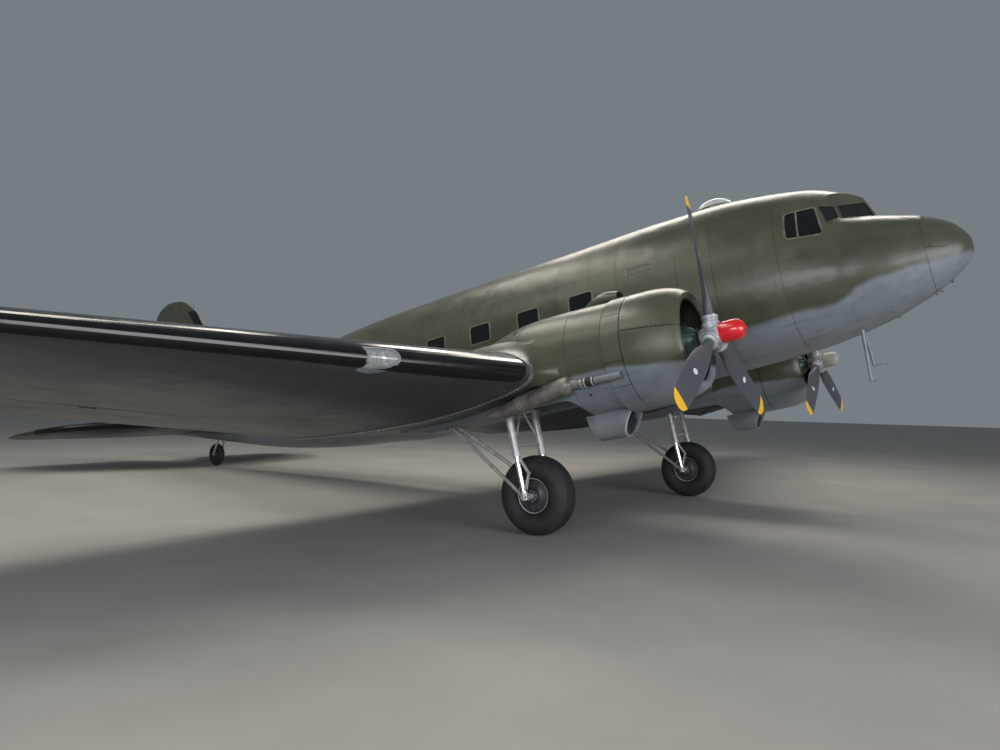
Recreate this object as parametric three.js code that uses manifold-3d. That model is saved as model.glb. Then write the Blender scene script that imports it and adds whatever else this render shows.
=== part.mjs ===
// Military transport plane: a low-wing, twin-engined tail-wheel aircraft, standing on its wheels.
// Every shape is drawn level, in flight axes: +X to port, +Y aft, +Z up, in millimetres, with the
// middle of the main-wheel axles at the origin. The whole plane then leans back to its parked angle.
import * as THREE from 'three';
import { mergeVertices } from 'three/addons/utils/BufferGeometryUtils.js';
import Module from 'manifold-3d';

const wasm = await Module();
wasm.setup();

const rad = THREE.MathUtils.degToRad;

// Stance on the ground
const GROUND_ANGLE = rad(11.64);
const AXLE_HEIGHT = 540;
const AXLE_Y = -4899;
const GAP = 0.3;

// Main sizes
const WALL = 40;
const NOSE = -5480;
const TAIL = 13950;
const THRUST_HEIGHT = 1574;
const ENGINE_X = 2820;
const PROP_Y = -2765;
const PROP_RADIUS = 1753;
const JOINT_X = 3900;
const SEMI_SPAN = 14555;
const ROOT_CHORD = 4320;
const WING_EDGE = { y: -860, z: 1500 };
const INCIDENCE = rad(2);
const DIHEDRAL = rad(5);
const SWEEP = rad(15.5);
const FLOOR_TOP = 1955;
const FLOOR_THICK = 40;

// Fuselage sections, in millimetres: aft, half breadth, top, bottom, height of the widest point, and
// how square the shoulders are, where they are squarer than the rest
const HULL = [
  [-5475, 70, 2470, 2330, 2400],
  [-5440, 165, 2560, 2255, 2400],
  [-5360, 290, 2680, 2160, 2400],
  [-5230, 410, 2800, 2050, 2400],
  [-4980, 580, 2945, 1900, 2400],
  [-4480, 830, 3100, 1700, 2410, 2.2],
  [-4230, 915, 3150, 1630, 2420, 2.5],
  [-4100, 955, 3175, 1600, 2426, 2.7],
  [-3980, 990, 3200, 1570, 2430, 3.3],
  [-3480, 1095, 3400, 1480, 2460, 3.5],
  [-2980, 1170, 3700, 1430, 2500, 2.6],
  [-2480, 1210, 3930, 1400, 2540],
  [-1480, 1245, 4000, 1340, 2570],
  [-480, 1250, 4000, 1300, 2570],
  [4020, 1250, 4000, 1330, 2570],
  [5020, 1240, 3970, 1420, 2580],
  [6520, 1150, 3870, 1540, 2640],
  [8520, 850, 3700, 1830, 2740],
  [10520, 520, 3450, 2270, 2840],
  [12020, 280, 3270, 2620, 2940],
  [13120, 100, 3110, 2870, 2990],
];
// Flight-deck roof over the nose: the same columns
const CAB = [
  [-4700, 740, 3250, 1800, 2400],
  [-4400, 870, 3420, 1700, 2410],
  [-4120, 950, 3570, 1600, 2420],
  [-3810, 1040, 3720, 1550, 2440],
  [-3480, 1100, 3810, 1500, 2460],
  [-2980, 1170, 3900, 1450, 2500],
  [-2480, 1205, 3965, 1420, 2540],
  [-1980, 1220, 3990, 1400, 2560],
];
// Windscreen: corners of the front pane and the quarter pane, on the starboard side
const SCREEN = {
  base: [0, -4490, 3110],
  roof: [0, -4390, 3390],
  post: [-640, -4084, 3055],
  postTop: [-555, -4040, 3306],
  quarter: [-900, -3938, 2992],
  quarterTop: [-825, -3860, 3300],
};
const HULL_SIDES = 20;
const SPACE = 3000;
const SQUARENESS = 2.15;

// Turns a closed geometry into a solid that can be joined and cut.
function solid(geometry) {
  const bare = geometry.clone();
  bare.deleteAttribute('normal');
  bare.deleteAttribute('uv');
  const merged = mergeVertices(bare, 1e-3);
  const vertProperties = new Float32Array(merged.attributes.position.array);
  const triVerts = outwards(vertProperties, new Uint32Array(merged.index.array));
  return new wasm.Manifold(new wasm.Mesh({ numProp: 3, vertProperties, triVerts }));
}

// Gives every triangle the turn that makes the enclosed volume positive.
function outwards(points, triangles) {
  const at = (i) => new THREE.Vector3().fromArray(points, 3 * i);
  let volume = 0;
  for (let i = 0; i < triangles.length; i += 3) {
    const [a, b, c] = [at(triangles[i]), at(triangles[i + 1]), at(triangles[i + 2])];
    volume += a.dot(b.cross(c));
  }
  if (volume < 0) {
    for (let i = 0; i < triangles.length; i += 3) {
      [triangles[i], triangles[i + 1]] = [triangles[i + 1], triangles[i]];
    }
  }
  return triangles;
}

// Turns a finished solid back into a geometry.
function geometryOf(body) {
  const mesh = body.getMesh();
  const geometry = new THREE.BufferGeometry();
  geometry.setAttribute('position', new THREE.BufferAttribute(new Float32Array(mesh.vertProperties), 3));
  geometry.setIndex(new THREE.BufferAttribute(new Uint32Array(mesh.triVerts), 1));
  geometry.computeVertexNormals();
  return geometry;
}

// The same piece on the other side of the plane.
function mirrored(geometry) {
  const copy = geometry.clone();
  copy.scale(-1, 1, 1);
  const faces = outwards(copy.attributes.position.array, copy.index.array.slice());
  copy.setIndex(new THREE.BufferAttribute(faces, 1));
  copy.computeVertexNormals();
  return copy;
}

const joined = (first, ...others) => others.reduce((sum, next) => sum.add(next), first);
const cut = (first, ...others) => others.reduce((rest, next) => rest.subtract(next), first);
const common = (first, ...others) => others.reduce((rest, next) => rest.intersect(next), first);

// A closed skin through rings of points: one ring for each station, with a flat cap at each end.
function lofted(sides, stations, ringPoint, capCentre) {
  const last = stations.length - 1;
  const geometry = new THREE.CylinderGeometry(1, 1, last, sides, last);
  const position = geometry.attributes.position;
  for (let i = 0; i < position.count; i += 1) {
    const [x, y, z] = [position.getX(i), position.getY(i), position.getZ(i)];
    const station = stations[Math.round(y + last / 2)];
    const step = (Math.round((Math.atan2(x, z) / (2 * Math.PI)) * sides) + sides) % sides;
    const angle = (step / sides) * 2 * Math.PI;
    const point = Math.hypot(x, z) < 0.5 ? capCentre(station) : ringPoint(station, angle);
    position.setXYZ(i, ...point);
  }
  return solid(geometry);
}

const power = (value, exponent) => Math.sign(value) * Math.abs(value) ** exponent;

// A body of rounded sections along Y. Rows: aft, half breadth, top, bottom, widest height.
function barrel(rows, inset = 0, centreX = 0, sides = HULL_SIDES) {
  const ringPoint = ([y, half, top, bottom, middle, shoulder = SQUARENESS], angle) => {
    const upper = Math.cos(angle) > 0;
    const rise = upper ? top - middle - inset : middle - bottom - inset;
    const curve = 2 / (upper ? shoulder : SQUARENESS);
    const x = (half - inset) * power(Math.sin(angle), curve);
    return [centreX + x, y, middle + rise * power(Math.cos(angle), curve)];
  };
  return lofted(sides, rows, ringPoint, ([y, , , , middle]) => [centreX, y, middle]);
}

// Height of the mean line and half thickness of the wing section, as parts of the chord.
const camber = (x) => (x < 0.2 ? 0.5 * (0.4 * x - x * x) : 0.03125 * (0.6 + 0.4 * x - x * x));
const halfThickness = (x, t) => 5 * t * (
  0.2969 * Math.sqrt(x) - x * (0.126 + x * (0.3516 - x * (0.2843 - 0.1036 * x)))
);

// A point of a wing section. Row: outboard X (signed), leading edge Y, Z, chord, thickness ratio, twist.
function sectionPoint([x, y, z, chord, t], along, side, grow = 0, turn = INCIDENCE, bend = 1) {
  const thickness = halfThickness(along, t) * chord + (along < 1 ? grow : 0);
  const height = bend * camber(along) * chord + side * thickness;
  const aft = along * chord + (along - 0.5) * 2 * grow;
  return [
    x, y + aft * Math.cos(turn) + height * Math.sin(turn), z - aft * Math.sin(turn) + height * Math.cos(turn),
  ];
}

// A wing-like body through rows of sections, from the root outboard to starboard.
function winged(rows, grow = 0, turn = INCIDENCE, bend = 1, sides = 20) {
  const ringPoint = (row, angle) => {
    const along = (1 + Math.sin(angle)) / 2;
    const side = Math.abs(Math.cos(angle)) < 1e-6 ? 0 : Math.sign(Math.cos(angle));
    return sectionPoint(row, along > 1 - 1e-9 ? 1 : along, side, grow, turn, bend);
  };
  return lofted(sides, rows, ringPoint, (row) => sectionPoint(row, 0.4, 0, 0, turn, bend));
}

// A round bar from one point to another.
function rod(from, to, radius, endRadius = radius, sides = 12) {
  const [start, end] = [new THREE.Vector3(...from), new THREE.Vector3(...to)];
  const along = end.clone().sub(start);
  const geometry = new THREE.CylinderGeometry(endRadius, radius, along.length(), sides);
  const up = new THREE.Vector3(0, 1, 0);
  const turn = new THREE.Quaternion().setFromUnitVectors(up, along.clone().normalize());
  geometry.applyQuaternion(turn);
  geometry.translate(...start.add(end).multiplyScalar(0.5).toArray());
  return solid(geometry);
}

// A box between two opposite corners.
function block(from, to) {
  const size = to.map((value, i) => Math.abs(value - from[i]));
  const geometry = new THREE.BoxGeometry(...size);
  geometry.translate(...to.map((value, i) => (value + from[i]) / 2));
  return solid(geometry);
}

// A ring or disc turned about an axis along Y (or X): profile points are radius and place on the axis.
function turned(profile, centre, sides = 32, alongX = false) {
  const geometry = new THREE.LatheGeometry(profile.map(([r, y]) => new THREE.Vector2(r, y)), sides);
  if (alongX) {
    geometry.rotateZ(-Math.PI / 2);
  }
  geometry.translate(...centre);
  return solid(geometry);
}

// A prism on a flat outline of points in space, from one depth to another along the outline's normal.
function prism(corners, inner, outer) {
  const points = corners.map((corner) => new THREE.Vector3(...corner));
  const along = points[1].clone().sub(points[0]).normalize();
  const normal = along.clone().cross(points[2].clone().sub(points[0])).normalize();
  const across = normal.clone().cross(along);
  const outline = new THREE.Shape(points.map((point) => {
    const offset = point.clone().sub(points[0]);
    return new THREE.Vector2(offset.dot(along), offset.dot(across));
  }));
  const geometry = new THREE.ExtrudeGeometry(outline, { depth: outer - inner, bevelEnabled: false });
  geometry.translate(0, 0, inner);
  geometry.applyMatrix4(new THREE.Matrix4().makeBasis(along, across, normal).setPosition(points[0]));
  return solid(geometry);
}

// A box on a line: it runs from the line by a length along one way and between two heights.
function boxOnLine(from, to, way, length, low, high, endGap = 0, front = 0) {
  const [start, end] = [new THREE.Vector3(...from), new THREE.Vector3(...to)];
  const along = end.clone().sub(start).normalize();
  const up = along.clone().cross(new THREE.Vector3(...way)).normalize();
  const aft = up.clone().cross(along);
  if (up.z < 0) {
    up.negate();
  }
  const span = start.distanceTo(end) + 2 * endGap;
  const geometry = new THREE.BoxGeometry(span, length + front, high - low);
  geometry.translate(span / 2 - endGap, (length - front) / 2, (high + low) / 2);
  geometry.applyMatrix4(new THREE.Matrix4().makeBasis(along, aft, up).setPosition(start));
  return solid(geometry);
}

const blend = (from, to, part) => from.map((value, i) => value + (to[i] - value) * part);

const plane = new THREE.Group();
plane.rotation.x = -GROUND_ANGLE;
plane.position.set(0, AXLE_Y, AXLE_HEIGHT);

const OLIVE = { color: 0x5a5840, roughness: 0.6, metalness: 0.1 };
const GREY = { color: 0x6b6f72, roughness: 0.6, metalness: 0.1 };
const RUBBER = { color: 0x1c1c1e, roughness: 0.85, metalness: 0 };
const STEEL = { color: 0x9aa0a4, roughness: 0.4, metalness: 0.8 };
const DARK = { color: 0x2c2f33, roughness: 0.5, metalness: 0.5 };
const CLEAR = { color: 0xbfd0d4, roughness: 0.05, metalness: 0 };

// Adds a named piece at a place in the plane's own axes.
function add(name, body, look, place = [0, 0, 0]) {
  const geometry = body.isBufferGeometry ? body : geometryOf(body);
  const mesh = new THREE.Mesh(geometry, new THREE.MeshStandardMaterial(look));
  mesh.name = name;
  mesh.position.set(...place);
  plane.add(mesh);
  return mesh;
}

// Adds a starboard piece and its mirror image to port.
function addPair(name, body, look) {
  const geometry = geometryOf(body);
  add(`${name}_right`, geometry, look);
  add(`${name}_left`, mirrored(geometry), look);
}

// Wing sections: outboard X, leading edge Y, leading edge Z, chord, thickness ratio
const outward = (s, edge, chord, t) => [
  -(JOINT_X + s), WING_EDGE.y + edge, WING_EDGE.z + s * Math.tan(DIHEDRAL), chord, t,
];
const sweepAt = (s) => s * Math.tan(SWEEP);
const STRAIGHT = 9300;
const TIP = SEMI_SPAN - JOINT_X;
const chordAt = (s) => ROOT_CHORD - sweepAt(s);
const CENTRE_WING = [[JOINT_X, WING_EDGE.y, WING_EDGE.z, ROOT_CHORD, 0.16],
  [-JOINT_X, WING_EDGE.y, WING_EDGE.z, ROOT_CHORD, 0.16]];
const OUTER_WING = [
  outward(GAP, sweepAt(0), ROOT_CHORD, 0.16),
  outward(STRAIGHT / 2, sweepAt(STRAIGHT / 2), chordAt(STRAIGHT / 2), 0.12),
  outward(STRAIGHT, sweepAt(STRAIGHT), chordAt(STRAIGHT), 0.09),
  outward(STRAIGHT + 0.5 * (TIP - STRAIGHT), sweepAt(STRAIGHT) + 270, chordAt(STRAIGHT) - 380, 0.085),
  outward(STRAIGHT + 0.85 * (TIP - STRAIGHT), sweepAt(STRAIGHT) + 620, chordAt(STRAIGHT) - 920, 0.08),
  outward(TIP, sweepAt(STRAIGHT) + 1000, chordAt(STRAIGHT) - 1500, 0.08),
];

// The wing row at a distance outboard of the joint.
const wingRow = (s) => outward(s, sweepAt(s), chordAt(s), 0.16 - (0.07 * s) / STRAIGHT);

// Everything in front of the windscreen panes, moved in by a depth.
function screenCut(inset) {
  const { base, roof, post, postTop, quarter } = SCREEN;
  const cuts = [];
  for (const side of [1, -1]) {
    for (const face of [[base, roof, post], [post, postTop, quarter]]) {
      const [a, b, c] = face.map(([x, y, z]) => new THREE.Vector3(side * x, y, z));
      const normal = b.clone().sub(a).cross(c.clone().sub(a)).normalize();
      if (normal.y > 0) {
        normal.negate();
      }
      const geometry = new THREE.BoxGeometry(SPACE, SPACE, SPACE);
      geometry.translate(0, 0, SPACE / 2 - inset);
      geometry.applyQuaternion(new THREE.Quaternion().setFromUnitVectors(new THREE.Vector3(0, 0, 1), normal));
      geometry.translate(...a.toArray());
      cuts.push(solid(geometry));
    }
  }
  return cuts;
}

// Hull form at a depth below the outer skin.
const hull = (inset) => joined(barrel(HULL, inset), cut(barrel(CAB, inset), ...screenCut(inset)));

const outerHull = hull(0);
const innerHull = hull(WALL);
const skin = cut(outerHull, innerHull);
const slice = (body, from, to) => common(body, block([-3000, from, -1000], [3000, to, 9000]));

// Windows: a prism through the side wall for each, from its corners in side view
function sideWindow(corners, side, grow = 0) {
  const middle = blend(corners[0], corners[2], 0.5);
  const points = corners.map(([y, z]) => {
    const reach = 1 + grow / Math.hypot(y - middle[0], z - middle[1]);
    return [side * 400, middle[0] + (y - middle[0]) * reach, middle[1] + (z - middle[1]) * reach];
  });
  return prism(points, -1200, 1200);
}
const rectangle = (y, z, width, height) => [
  [y - width / 2, z - height / 2], [y + width / 2, z - height / 2],
  [y + width / 2, z + height / 2], [y - width / 2, z + height / 2],
];
const WINDOW = { width: 410, height: 310, z: 2820, first: -310, pitch: 1000 };
const DOORWAY = { front: 5750, middle: 6800, rear: 7900, bottom: 1975, top: 3290 };
const CREW_DOOR = { front: -2700, rear: -2060, bottom: 1985, top: 3080 };
const DECK_WINDOW = [[-3885, 2862], [-3445, 2905], [-3445, 3282], [-3826, 3288]];
const RADIO_WINDOW = rectangle(-1330, 3090, 380, 90);

const windowPlaces = { right: [0, 1, 2, 3, 4, 5, 6], left: [0, 1, 2, 3, 4, 5] };
const sideSign = { right: -1, left: 1 };
function cabinWindows(side, grow) {
  const places = windowPlaces[side].map((i) => rectangle(
    WINDOW.first + i * WINDOW.pitch, WINDOW.z, WINDOW.width, WINDOW.height,
  ));
  places.push(RADIO_WINDOW);
  const solids = places.map((corners) => common(
    sideWindow(corners, sideSign[side], grow), sideHalf(side),
  ));
  return joined(...solids);
}
function sideHalf(side) {
  const sign = sideSign[side];
  return block([sign * 300, -6000, 0], [sign * 2000, 14000, 6000]);
}

// Windscreen panes: parts of the way across and up the front face and the quarter face
function screenPanes(grow) {
  const { base, roof, post, postTop, quarter, quarterTop } = SCREEN;
  const across = grow / 600;
  const up = grow / 280;
  const panes = [];
  const facets = [[base, roof, post, postTop], [post, postTop, quarter, quarterTop]];
  for (const [low, high, lowEnd, highEnd] of facets) {
    const at = (u, v) => blend(blend(low, lowEnd, u), blend(high, highEnd, u), v);
    const corners = [at(0.07 - across, 0.1 - up), at(0.07 - across, 0.94 + up), at(0.92 + across, 0.94 + up),
      at(0.92 + across, 0.1 - up)];
    for (const side of [1, -1]) {
      panes.push(prism(corners.map(([x, y, z]) => [side * x, y, z]), -150, 150));
    }
  }
  return panes;
}
const deckWindows = (grow) => joined(
  ...['right', 'left'].map((side) => common(sideWindow(DECK_WINDOW, sideSign[side], grow), sideHalf(side))),
);

const doorHole = (door, grow) => block(
  [300, door.front - grow, door.bottom - grow], [2000, door.rear + grow, door.top + grow],
);
const ASTRODOME = { y: -2300, z: 3940, radius: 300, rise: 204 };
const domeHole = rod([0, ASTRODOME.y, 3500], [0, ASTRODOME.y, 4400], ASTRODOME.radius, ASTRODOME.radius, 24);

const JOINTS = { cap: -4980, deck: -2900, tail: 8520 };
const wingGrown = winged(CENTRE_WING, GAP);

// Nose and flight deck
add('nose_cap', slice(skin, NOSE - 100, JOINTS.cap - GAP), OLIVE);
const deckShell = cut(slice(skin, JOINTS.cap, JOINTS.deck - GAP), deckWindows(0), ...screenPanes(0));
const mast = (x, lead, top, bottom, tube) => joined(
  rod([x, -3960 - lead, top + 120], [x, -3980, bottom], 26, 20, 10),
  rod([x, -3930, bottom], [x, -3980 - tube, bottom], 14, 9, 8),
);
add('flight_deck_shell', joined(
  deckShell,
  cut(joined(mast(-300, 50, 1510, 860, 60), mast(300, 0, 1510, 1110, 260)), barrel(HULL, WALL / 2)),
), OLIVE);

// Cabin
const cabinShell = cut(
  slice(skin, JOINTS.deck, JOINTS.tail - GAP), cabinWindows('right', 0), cabinWindows('left', 0),
  doorHole(DOORWAY, 0), doorHole(CREW_DOOR, 0), domeHole, wingGrown,
);
add('cabin_shell', cabinShell, OLIVE);

// Glazing: panes in the openings, on a thin inner sheet behind the wall
const liner = cut(hull(WALL + GAP), hull(WALL + 10));
const paneBand = cut(hull(10), hull(WALL + 10));
function cabinGlass(side) {
  const places = windowPlaces[side];
  const end = WINDOW.first + places[places.length - 1] * WINDOW.pitch + 260;
  const strip = common(liner, block([sideSign[side] * 300, -1600, 2630], [sideSign[side] * 2000, end, 3160]));
  return joined(strip, common(paneBand, cabinWindows(side, -1)));
}
add('cabin_glazing_right', cabinGlass('right'), CLEAR);
add('cabin_glazing_left', cabinGlass('left'), CLEAR);
const deckStrip = common(liner, block([-2000, -4600, 2850], [2000, -3390, 3420]));
add('flight_deck_glazing', joined(
  deckStrip, common(paneBand, joined(deckWindows(-1), ...screenPanes(-1))),
), CLEAR);
const domeProfile = [];
for (let i = 0; i <= 6; i += 1) {
  const angle = (i / 6) * (Math.PI / 2);
  domeProfile.push([(ASTRODOME.radius - 1) * Math.cos(angle), ASTRODOME.rise * Math.sin(angle)]);
}
const domeGeometry = new THREE.LatheGeometry(
  [[0, -60], [ASTRODOME.radius - 1, -60], ...domeProfile].map(
    ([r, z]) => new THREE.Vector2(Math.max(r, 0), z),
  ), 24,
);
domeGeometry.rotateX(Math.PI / 2);
domeGeometry.translate(0, ASTRODOME.y, ASTRODOME.z);
add('astrodome', solid(domeGeometry), CLEAR);

// Inside
const inside = hull(WALL + GAP);
const floorSlab = block([-2000, JOINTS.deck + 60, FLOOR_TOP - FLOOR_THICK], [2000, 8300, FLOOR_TOP]);
add('cabin_floor', common(inside, floorSlab), GREY);
const deckFloor = block([-2000, -4700, FLOOR_TOP - FLOOR_THICK], [2000, JOINTS.deck - 50, FLOOR_TOP]);
const bulkhead = block([-2000, JOINTS.deck - 59, 0], [2000, JOINTS.deck + 30, 6000]);
const deckDoor = block([-330, JOINTS.deck - 300, FLOOR_TOP + 1], [330, JOINTS.deck + 300, 3700]);
add('flight_deck_bulkhead', common(inside, cut(joined(bulkhead, deckFloor), deckDoor)), GREY);
add('instrument_panel', common(
  hull(WALL + 15),
  joined(
    block([-2000, -4230, 2600], [2000, -4160, 2930]), block([-120, -4230, FLOOR_TOP + GAP], [120, -3900, 2650]),
  ),
), DARK);
const seat = (x) => joined(
  block([x - 210, -3650, 2330], [x + 210, -3230, 2400]),
  block([x - 210, -3290, 2400], [x + 210, -3230, 3030]),
  block([x - 150, -3560, FLOOR_TOP + GAP], [x + 150, -3300, 2330]),
);
add('pilot_seat_left', seat(470), DARK);
add('pilot_seat_right', seat(-470), DARK);

// Wheel wells are cut in the nacelle and the wing between the legs
const WELL = { half: 430, front: -1080, rear: 170, top: 1760, lip: 1120 };
const well = block([-ENGINE_X - WELL.half, WELL.front, 0], [-ENGINE_X + WELL.half, WELL.rear, WELL.top]);
const portWell = block([ENGINE_X - WELL.half, WELL.front, 0], [ENGINE_X + WELL.half, WELL.rear, WELL.top]);

// Split flaps: a plate under the trailing edge. Ends are given as rows of the wing.
const FLAP = { from: 0.82, to: 0.965, thick: 14, gap: 6 };
function flapTool(rowA, rowB, up, endGap, lead) {
  const from = sectionPoint(rowA, FLAP.from, -1);
  const to = sectionPoint(rowB, FLAP.from, -1);
  const end = sectionPoint(rowA, FLAP.to, -1);
  const way = end.map((value, i) => value - from[i]);
  const length = Math.hypot(...way);
  return boxOnLine(from, to, way, length + lead, -60, up, endGap, lead);
}
const innerFlapRows = [[-1330, ...CENTRE_WING[1].slice(1)], [-(JOINT_X - 20), ...CENTRE_WING[1].slice(1)]];
const outerFlapRows = [wingRow(60), wingRow(5700)];
const flapPlate = (body, rows) => common(body, flapTool(rows[0], rows[1], FLAP.thick, 0, 0));
const flapRoom = (rows) => flapTool(rows[0], rows[1], FLAP.thick + FLAP.gap, 10, 8);

const centreWing = winged(CENTRE_WING);
const padUnderWing = (x) => rod([x, 300, 1300], [x, 300, 1150], 70, 70, 16);
const flapRoomLeft = solid(mirrored(geometryOf(flapRoom(innerFlapRows))));
add('wing_centre_section', joined(
  cut(centreWing, well, portWell, flapRoom(innerFlapRows), flapRoomLeft),
  padUnderWing(-1900), padUnderWing(1900),
), GREY);
addPair('flap_inner', flapPlate(centreWing, innerFlapRows), GREY);

// Outer wing with its aileron
const AILERON = { from: 5900, to: 9900, hinge: 0.76, gap: 8 };
const outerWing = winged(OUTER_WING);
const aileronEnds = [AILERON.from, AILERON.to].map((s) => sectionPoint(wingRow(s), AILERON.hinge, 0));
const aileronNose = [AILERON.from, AILERON.to].map(
  (s) => halfThickness(AILERON.hinge, wingRow(s)[4]) * wingRow(s)[3],
);
function aileronTool(gap) {
  const [from, to] = aileronEnds;
  const along = new THREE.Vector3(...to).sub(new THREE.Vector3(...from)).normalize();
  const reach = (point, sign) => new THREE.Vector3(...point).addScaledVector(along, sign * gap).toArray();
  const bar = rod(reach(from, -1), reach(to, 1), aileronNose[0] + gap, aileronNose[1] + gap, 12);
  return joined(boxOnLine(from, to, [0, 1, 0], 1600, -250, 250, gap, gap), bar);
}
const LAMP = { s: 1950, half: 180, depth: 190 };
const lampRow = wingRow(LAMP.s);
const lampRoom = (grow) => block(
  [lampRow[0] - LAMP.half - grow, lampRow[1] - 300, 1000],
  [lampRow[0] + LAMP.half + grow, lampRow[1] + LAMP.depth + grow, 2200],
);
addPair('outer_wing', cut(outerWing, aileronTool(AILERON.gap), flapRoom(outerFlapRows), lampRoom(GAP)), GREY);
addPair('aileron', common(outerWing, aileronTool(0)), OLIVE);
addPair('flap_outer', flapPlate(outerWing, outerFlapRows), GREY);
addPair('landing_lamp', common(outerWing, lampRoom(0)), CLEAR);

// Engine nacelle. Rows: aft, half breadth, top, bottom, widest height
const NACELLE = [
  [-1700, 630, 2190, 950, 1574],
  [-1672, 650, 2220, 925, 1574],
  [-1640, 702, 2285, 900, 1574],
  [-900, 715, 2310, 880, 1574],
  [-300, 710, 2290, 900, 1560],
  [300, 640, 2150, 960, 1540],
  [1000, 500, 1950, 1040, 1500],
  [1700, 320, 1760, 1120, 1440],
  [2300, 120, 1560, 1220, 1390],
];
const belowWell = joined(
  block([-4000, -900, 0], [-1500, 3000, WELL.lip]),
  rod([-4000, -900, WELL.lip - 250], [-1500, -900, WELL.lip - 250], 250, 250, 24),
  block([-4000, -1150, 0], [-1500, -850, WELL.lip - 250]),
);
const SCOOP = [
  [-1690, 125, 2415, 2250, 2320],
  [-1480, 135, 2445, 2250, 2330],
  [-1300, 115, 2390, 2200, 2300],
  [-1100, 60, 2280, 2150, 2220],
];
const scoopMouth = barrel([[-1750, 100, 2395, 2290, 2345], [-1500, 90, 2395, 2290, 2345]], 0, -ENGINE_X, 12);
const cowlRoom = turned(
  [[0, -3000], [742, -3000], [742, -1645], [0, -1645]], [-ENGINE_X, 0, THRUST_HEIGHT], 24,
);
const nacelle = cut(
  joined(barrel(NACELLE, 0, -ENGINE_X), cut(barrel(SCOOP, 0, -ENGINE_X, 12), scoopMouth, cowlRoom)),
  wingGrown, well, belowWell,
);
const strutRoom = block([-ENGINE_X - 190, 1120, 0], [-ENGINE_X + 190, 1350, 1300]);
addPair('nacelle', cut(nacelle, strutRoom), OLIVE);

// Cowling with its gill ring: radius and place along the engine's axis
const COWL_PROFILE = [
  [500, -2540], [535, -2585], [600, -2565], [668, -2440], [712, -2220], [725, -1950], [725, -1890],
  [732, -1654], [718, -1650], [694, -1890], [694, -2000], [620, -2330], [500, -2540],
];
// Engine: crankcase, two rows of seven cylinders and a reduction-gear nose
function engineBody() {
  const bodies = [turned([[0, -2600], [70, -2600], [160, -2520], [210, -2420], [280, -2300], [280, -1840],
    [330, -1820], [330, -1750], [0, -1750]], [0, 0, 0], 12)];
  for (const [rowY, phase] of [[-2200, 0], [-1960, Math.PI / 7]]) {
    for (let i = 0; i < 7; i += 1) {
      const angle = phase + (i / 7) * 2 * Math.PI;
      const at = (r) => [r * Math.sin(angle), rowY, r * Math.cos(angle)];
      bodies.push(rod(at(240), at(600), 98, 72, 6));
    }
  }
  for (const angle of [0.5, 1.9, 2.6, 3.7, 4.6, 5.8]) {
    bodies.push(rod([250 * Math.sin(angle), -1765, 250 * Math.cos(angle)],
      [400 * Math.sin(angle), -1718, 400 * Math.cos(angle)], 18, 18, 4));
  }
  return joined(...bodies);
}
const PROP_HUB = [
  [0, -405], [62, -392], [112, -350], [130, -290], [130, -92], [118, -86], [118, 90], [88, 145], [0, 145],
];
// Propeller blade: radius, chord, thickness, pitch in degrees
const BLADE = [
  [100, 130, 128, 48],
  [330, 132, 115, 38],
  [560, 225, 70, 28],
  [850, 290, 44, 18],
  [1200, 304, 28, 12],
  [1500, 292, 18, 9],
  [1660, 244, 12, 8],
  [1725, 176, 9, 7.5],
  [PROP_RADIUS, 70, 6, 7],
];
function bladeBody() {
  const ringPoint = ([r, chord, thick, pitch], angle) => {
    const [across, out] = [(chord / 2) * Math.sin(angle), (thick / 2) * Math.cos(angle)];
    const turn = rad(pitch);
    return [
      -(across * Math.cos(turn)) - out * Math.sin(turn), -across * Math.sin(turn) + out * Math.cos(turn), r,
    ];
  };
  return lofted(8, BLADE, ringPoint, ([r]) => [0, 0, r]);
}
function propellerBody() {
  const blade = geometryOf(bladeBody());
  const blades = [0, 1, 2].map((i) => {
    const copy = blade.clone();
    copy.rotateY((i / 3) * 2 * Math.PI);
    return solid(copy);
  });
  return joined(turned(PROP_HUB, [0, 0, 0], 14), ...blades);
}
const propeller = geometryOf(propellerBody());
const engine = geometryOf(engineBody());
for (const [side, sign, phase] of [['right', -1, rad(0.7)], ['left', 1, rad(-1.5)]]) {
  add(`engine_${side}`, engine, DARK, [sign * ENGINE_X, 0, THRUST_HEIGHT]);
  const mesh = add(`propeller_${side}`, propeller, DARK, [sign * ENGINE_X, PROP_Y, THRUST_HEIGHT]);
  mesh.rotation.y = phase;
}
addPair('cowling', turned(COWL_PROFILE, [-ENGINE_X, 0, THRUST_HEIGHT], 24), OLIVE);

// Exhaust along the outboard side of the nacelle
const EXHAUST = [
  [-3532, -1850, 1262, 34], [-3532, -1330, 1258, 36], [-3544, -1190, 1270, 60], [-3556, -1150, 1274, 112],
  [-3556, -440, 1175, 112], [-3550, -300, 1148, 98], [-3542, -60, 1095, 92], [-3534, 260, 1000, 92],
];
function exhaustBody() {
  const parts = [];
  for (let i = 0; i + 1 < EXHAUST.length; i += 1) {
    const [x0, y0, z0, r0] = EXHAUST[i];
    const [x1, y1, z1, r1] = EXHAUST[i + 1];
    parts.push(rod([x0, y0, z0], [x1, y1 + (i + 2 < EXHAUST.length ? 4 : 0), z1], r0, r1, 8));
  }
  const mouth = rod([-3546, -180, 1121], [-3530, 420, 952], 80, 80, 8);
  const below = prism([[0, -171, 1044], [0, 900, 1312], [0, 900, 500], [0, -171, 500]], -4000, 4000);
  const brackets = [-900, -500].map((y) => block([-3560, y - 25, 1220], [-3300, y + 25, 1260]));
  return cut(joined(...parts, ...brackets), mouth, below, barrel(NACELLE, -GAP, -ENGINE_X), wingGrown);
}
addPair('exhaust', exhaustBody(), STEEL);

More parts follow.
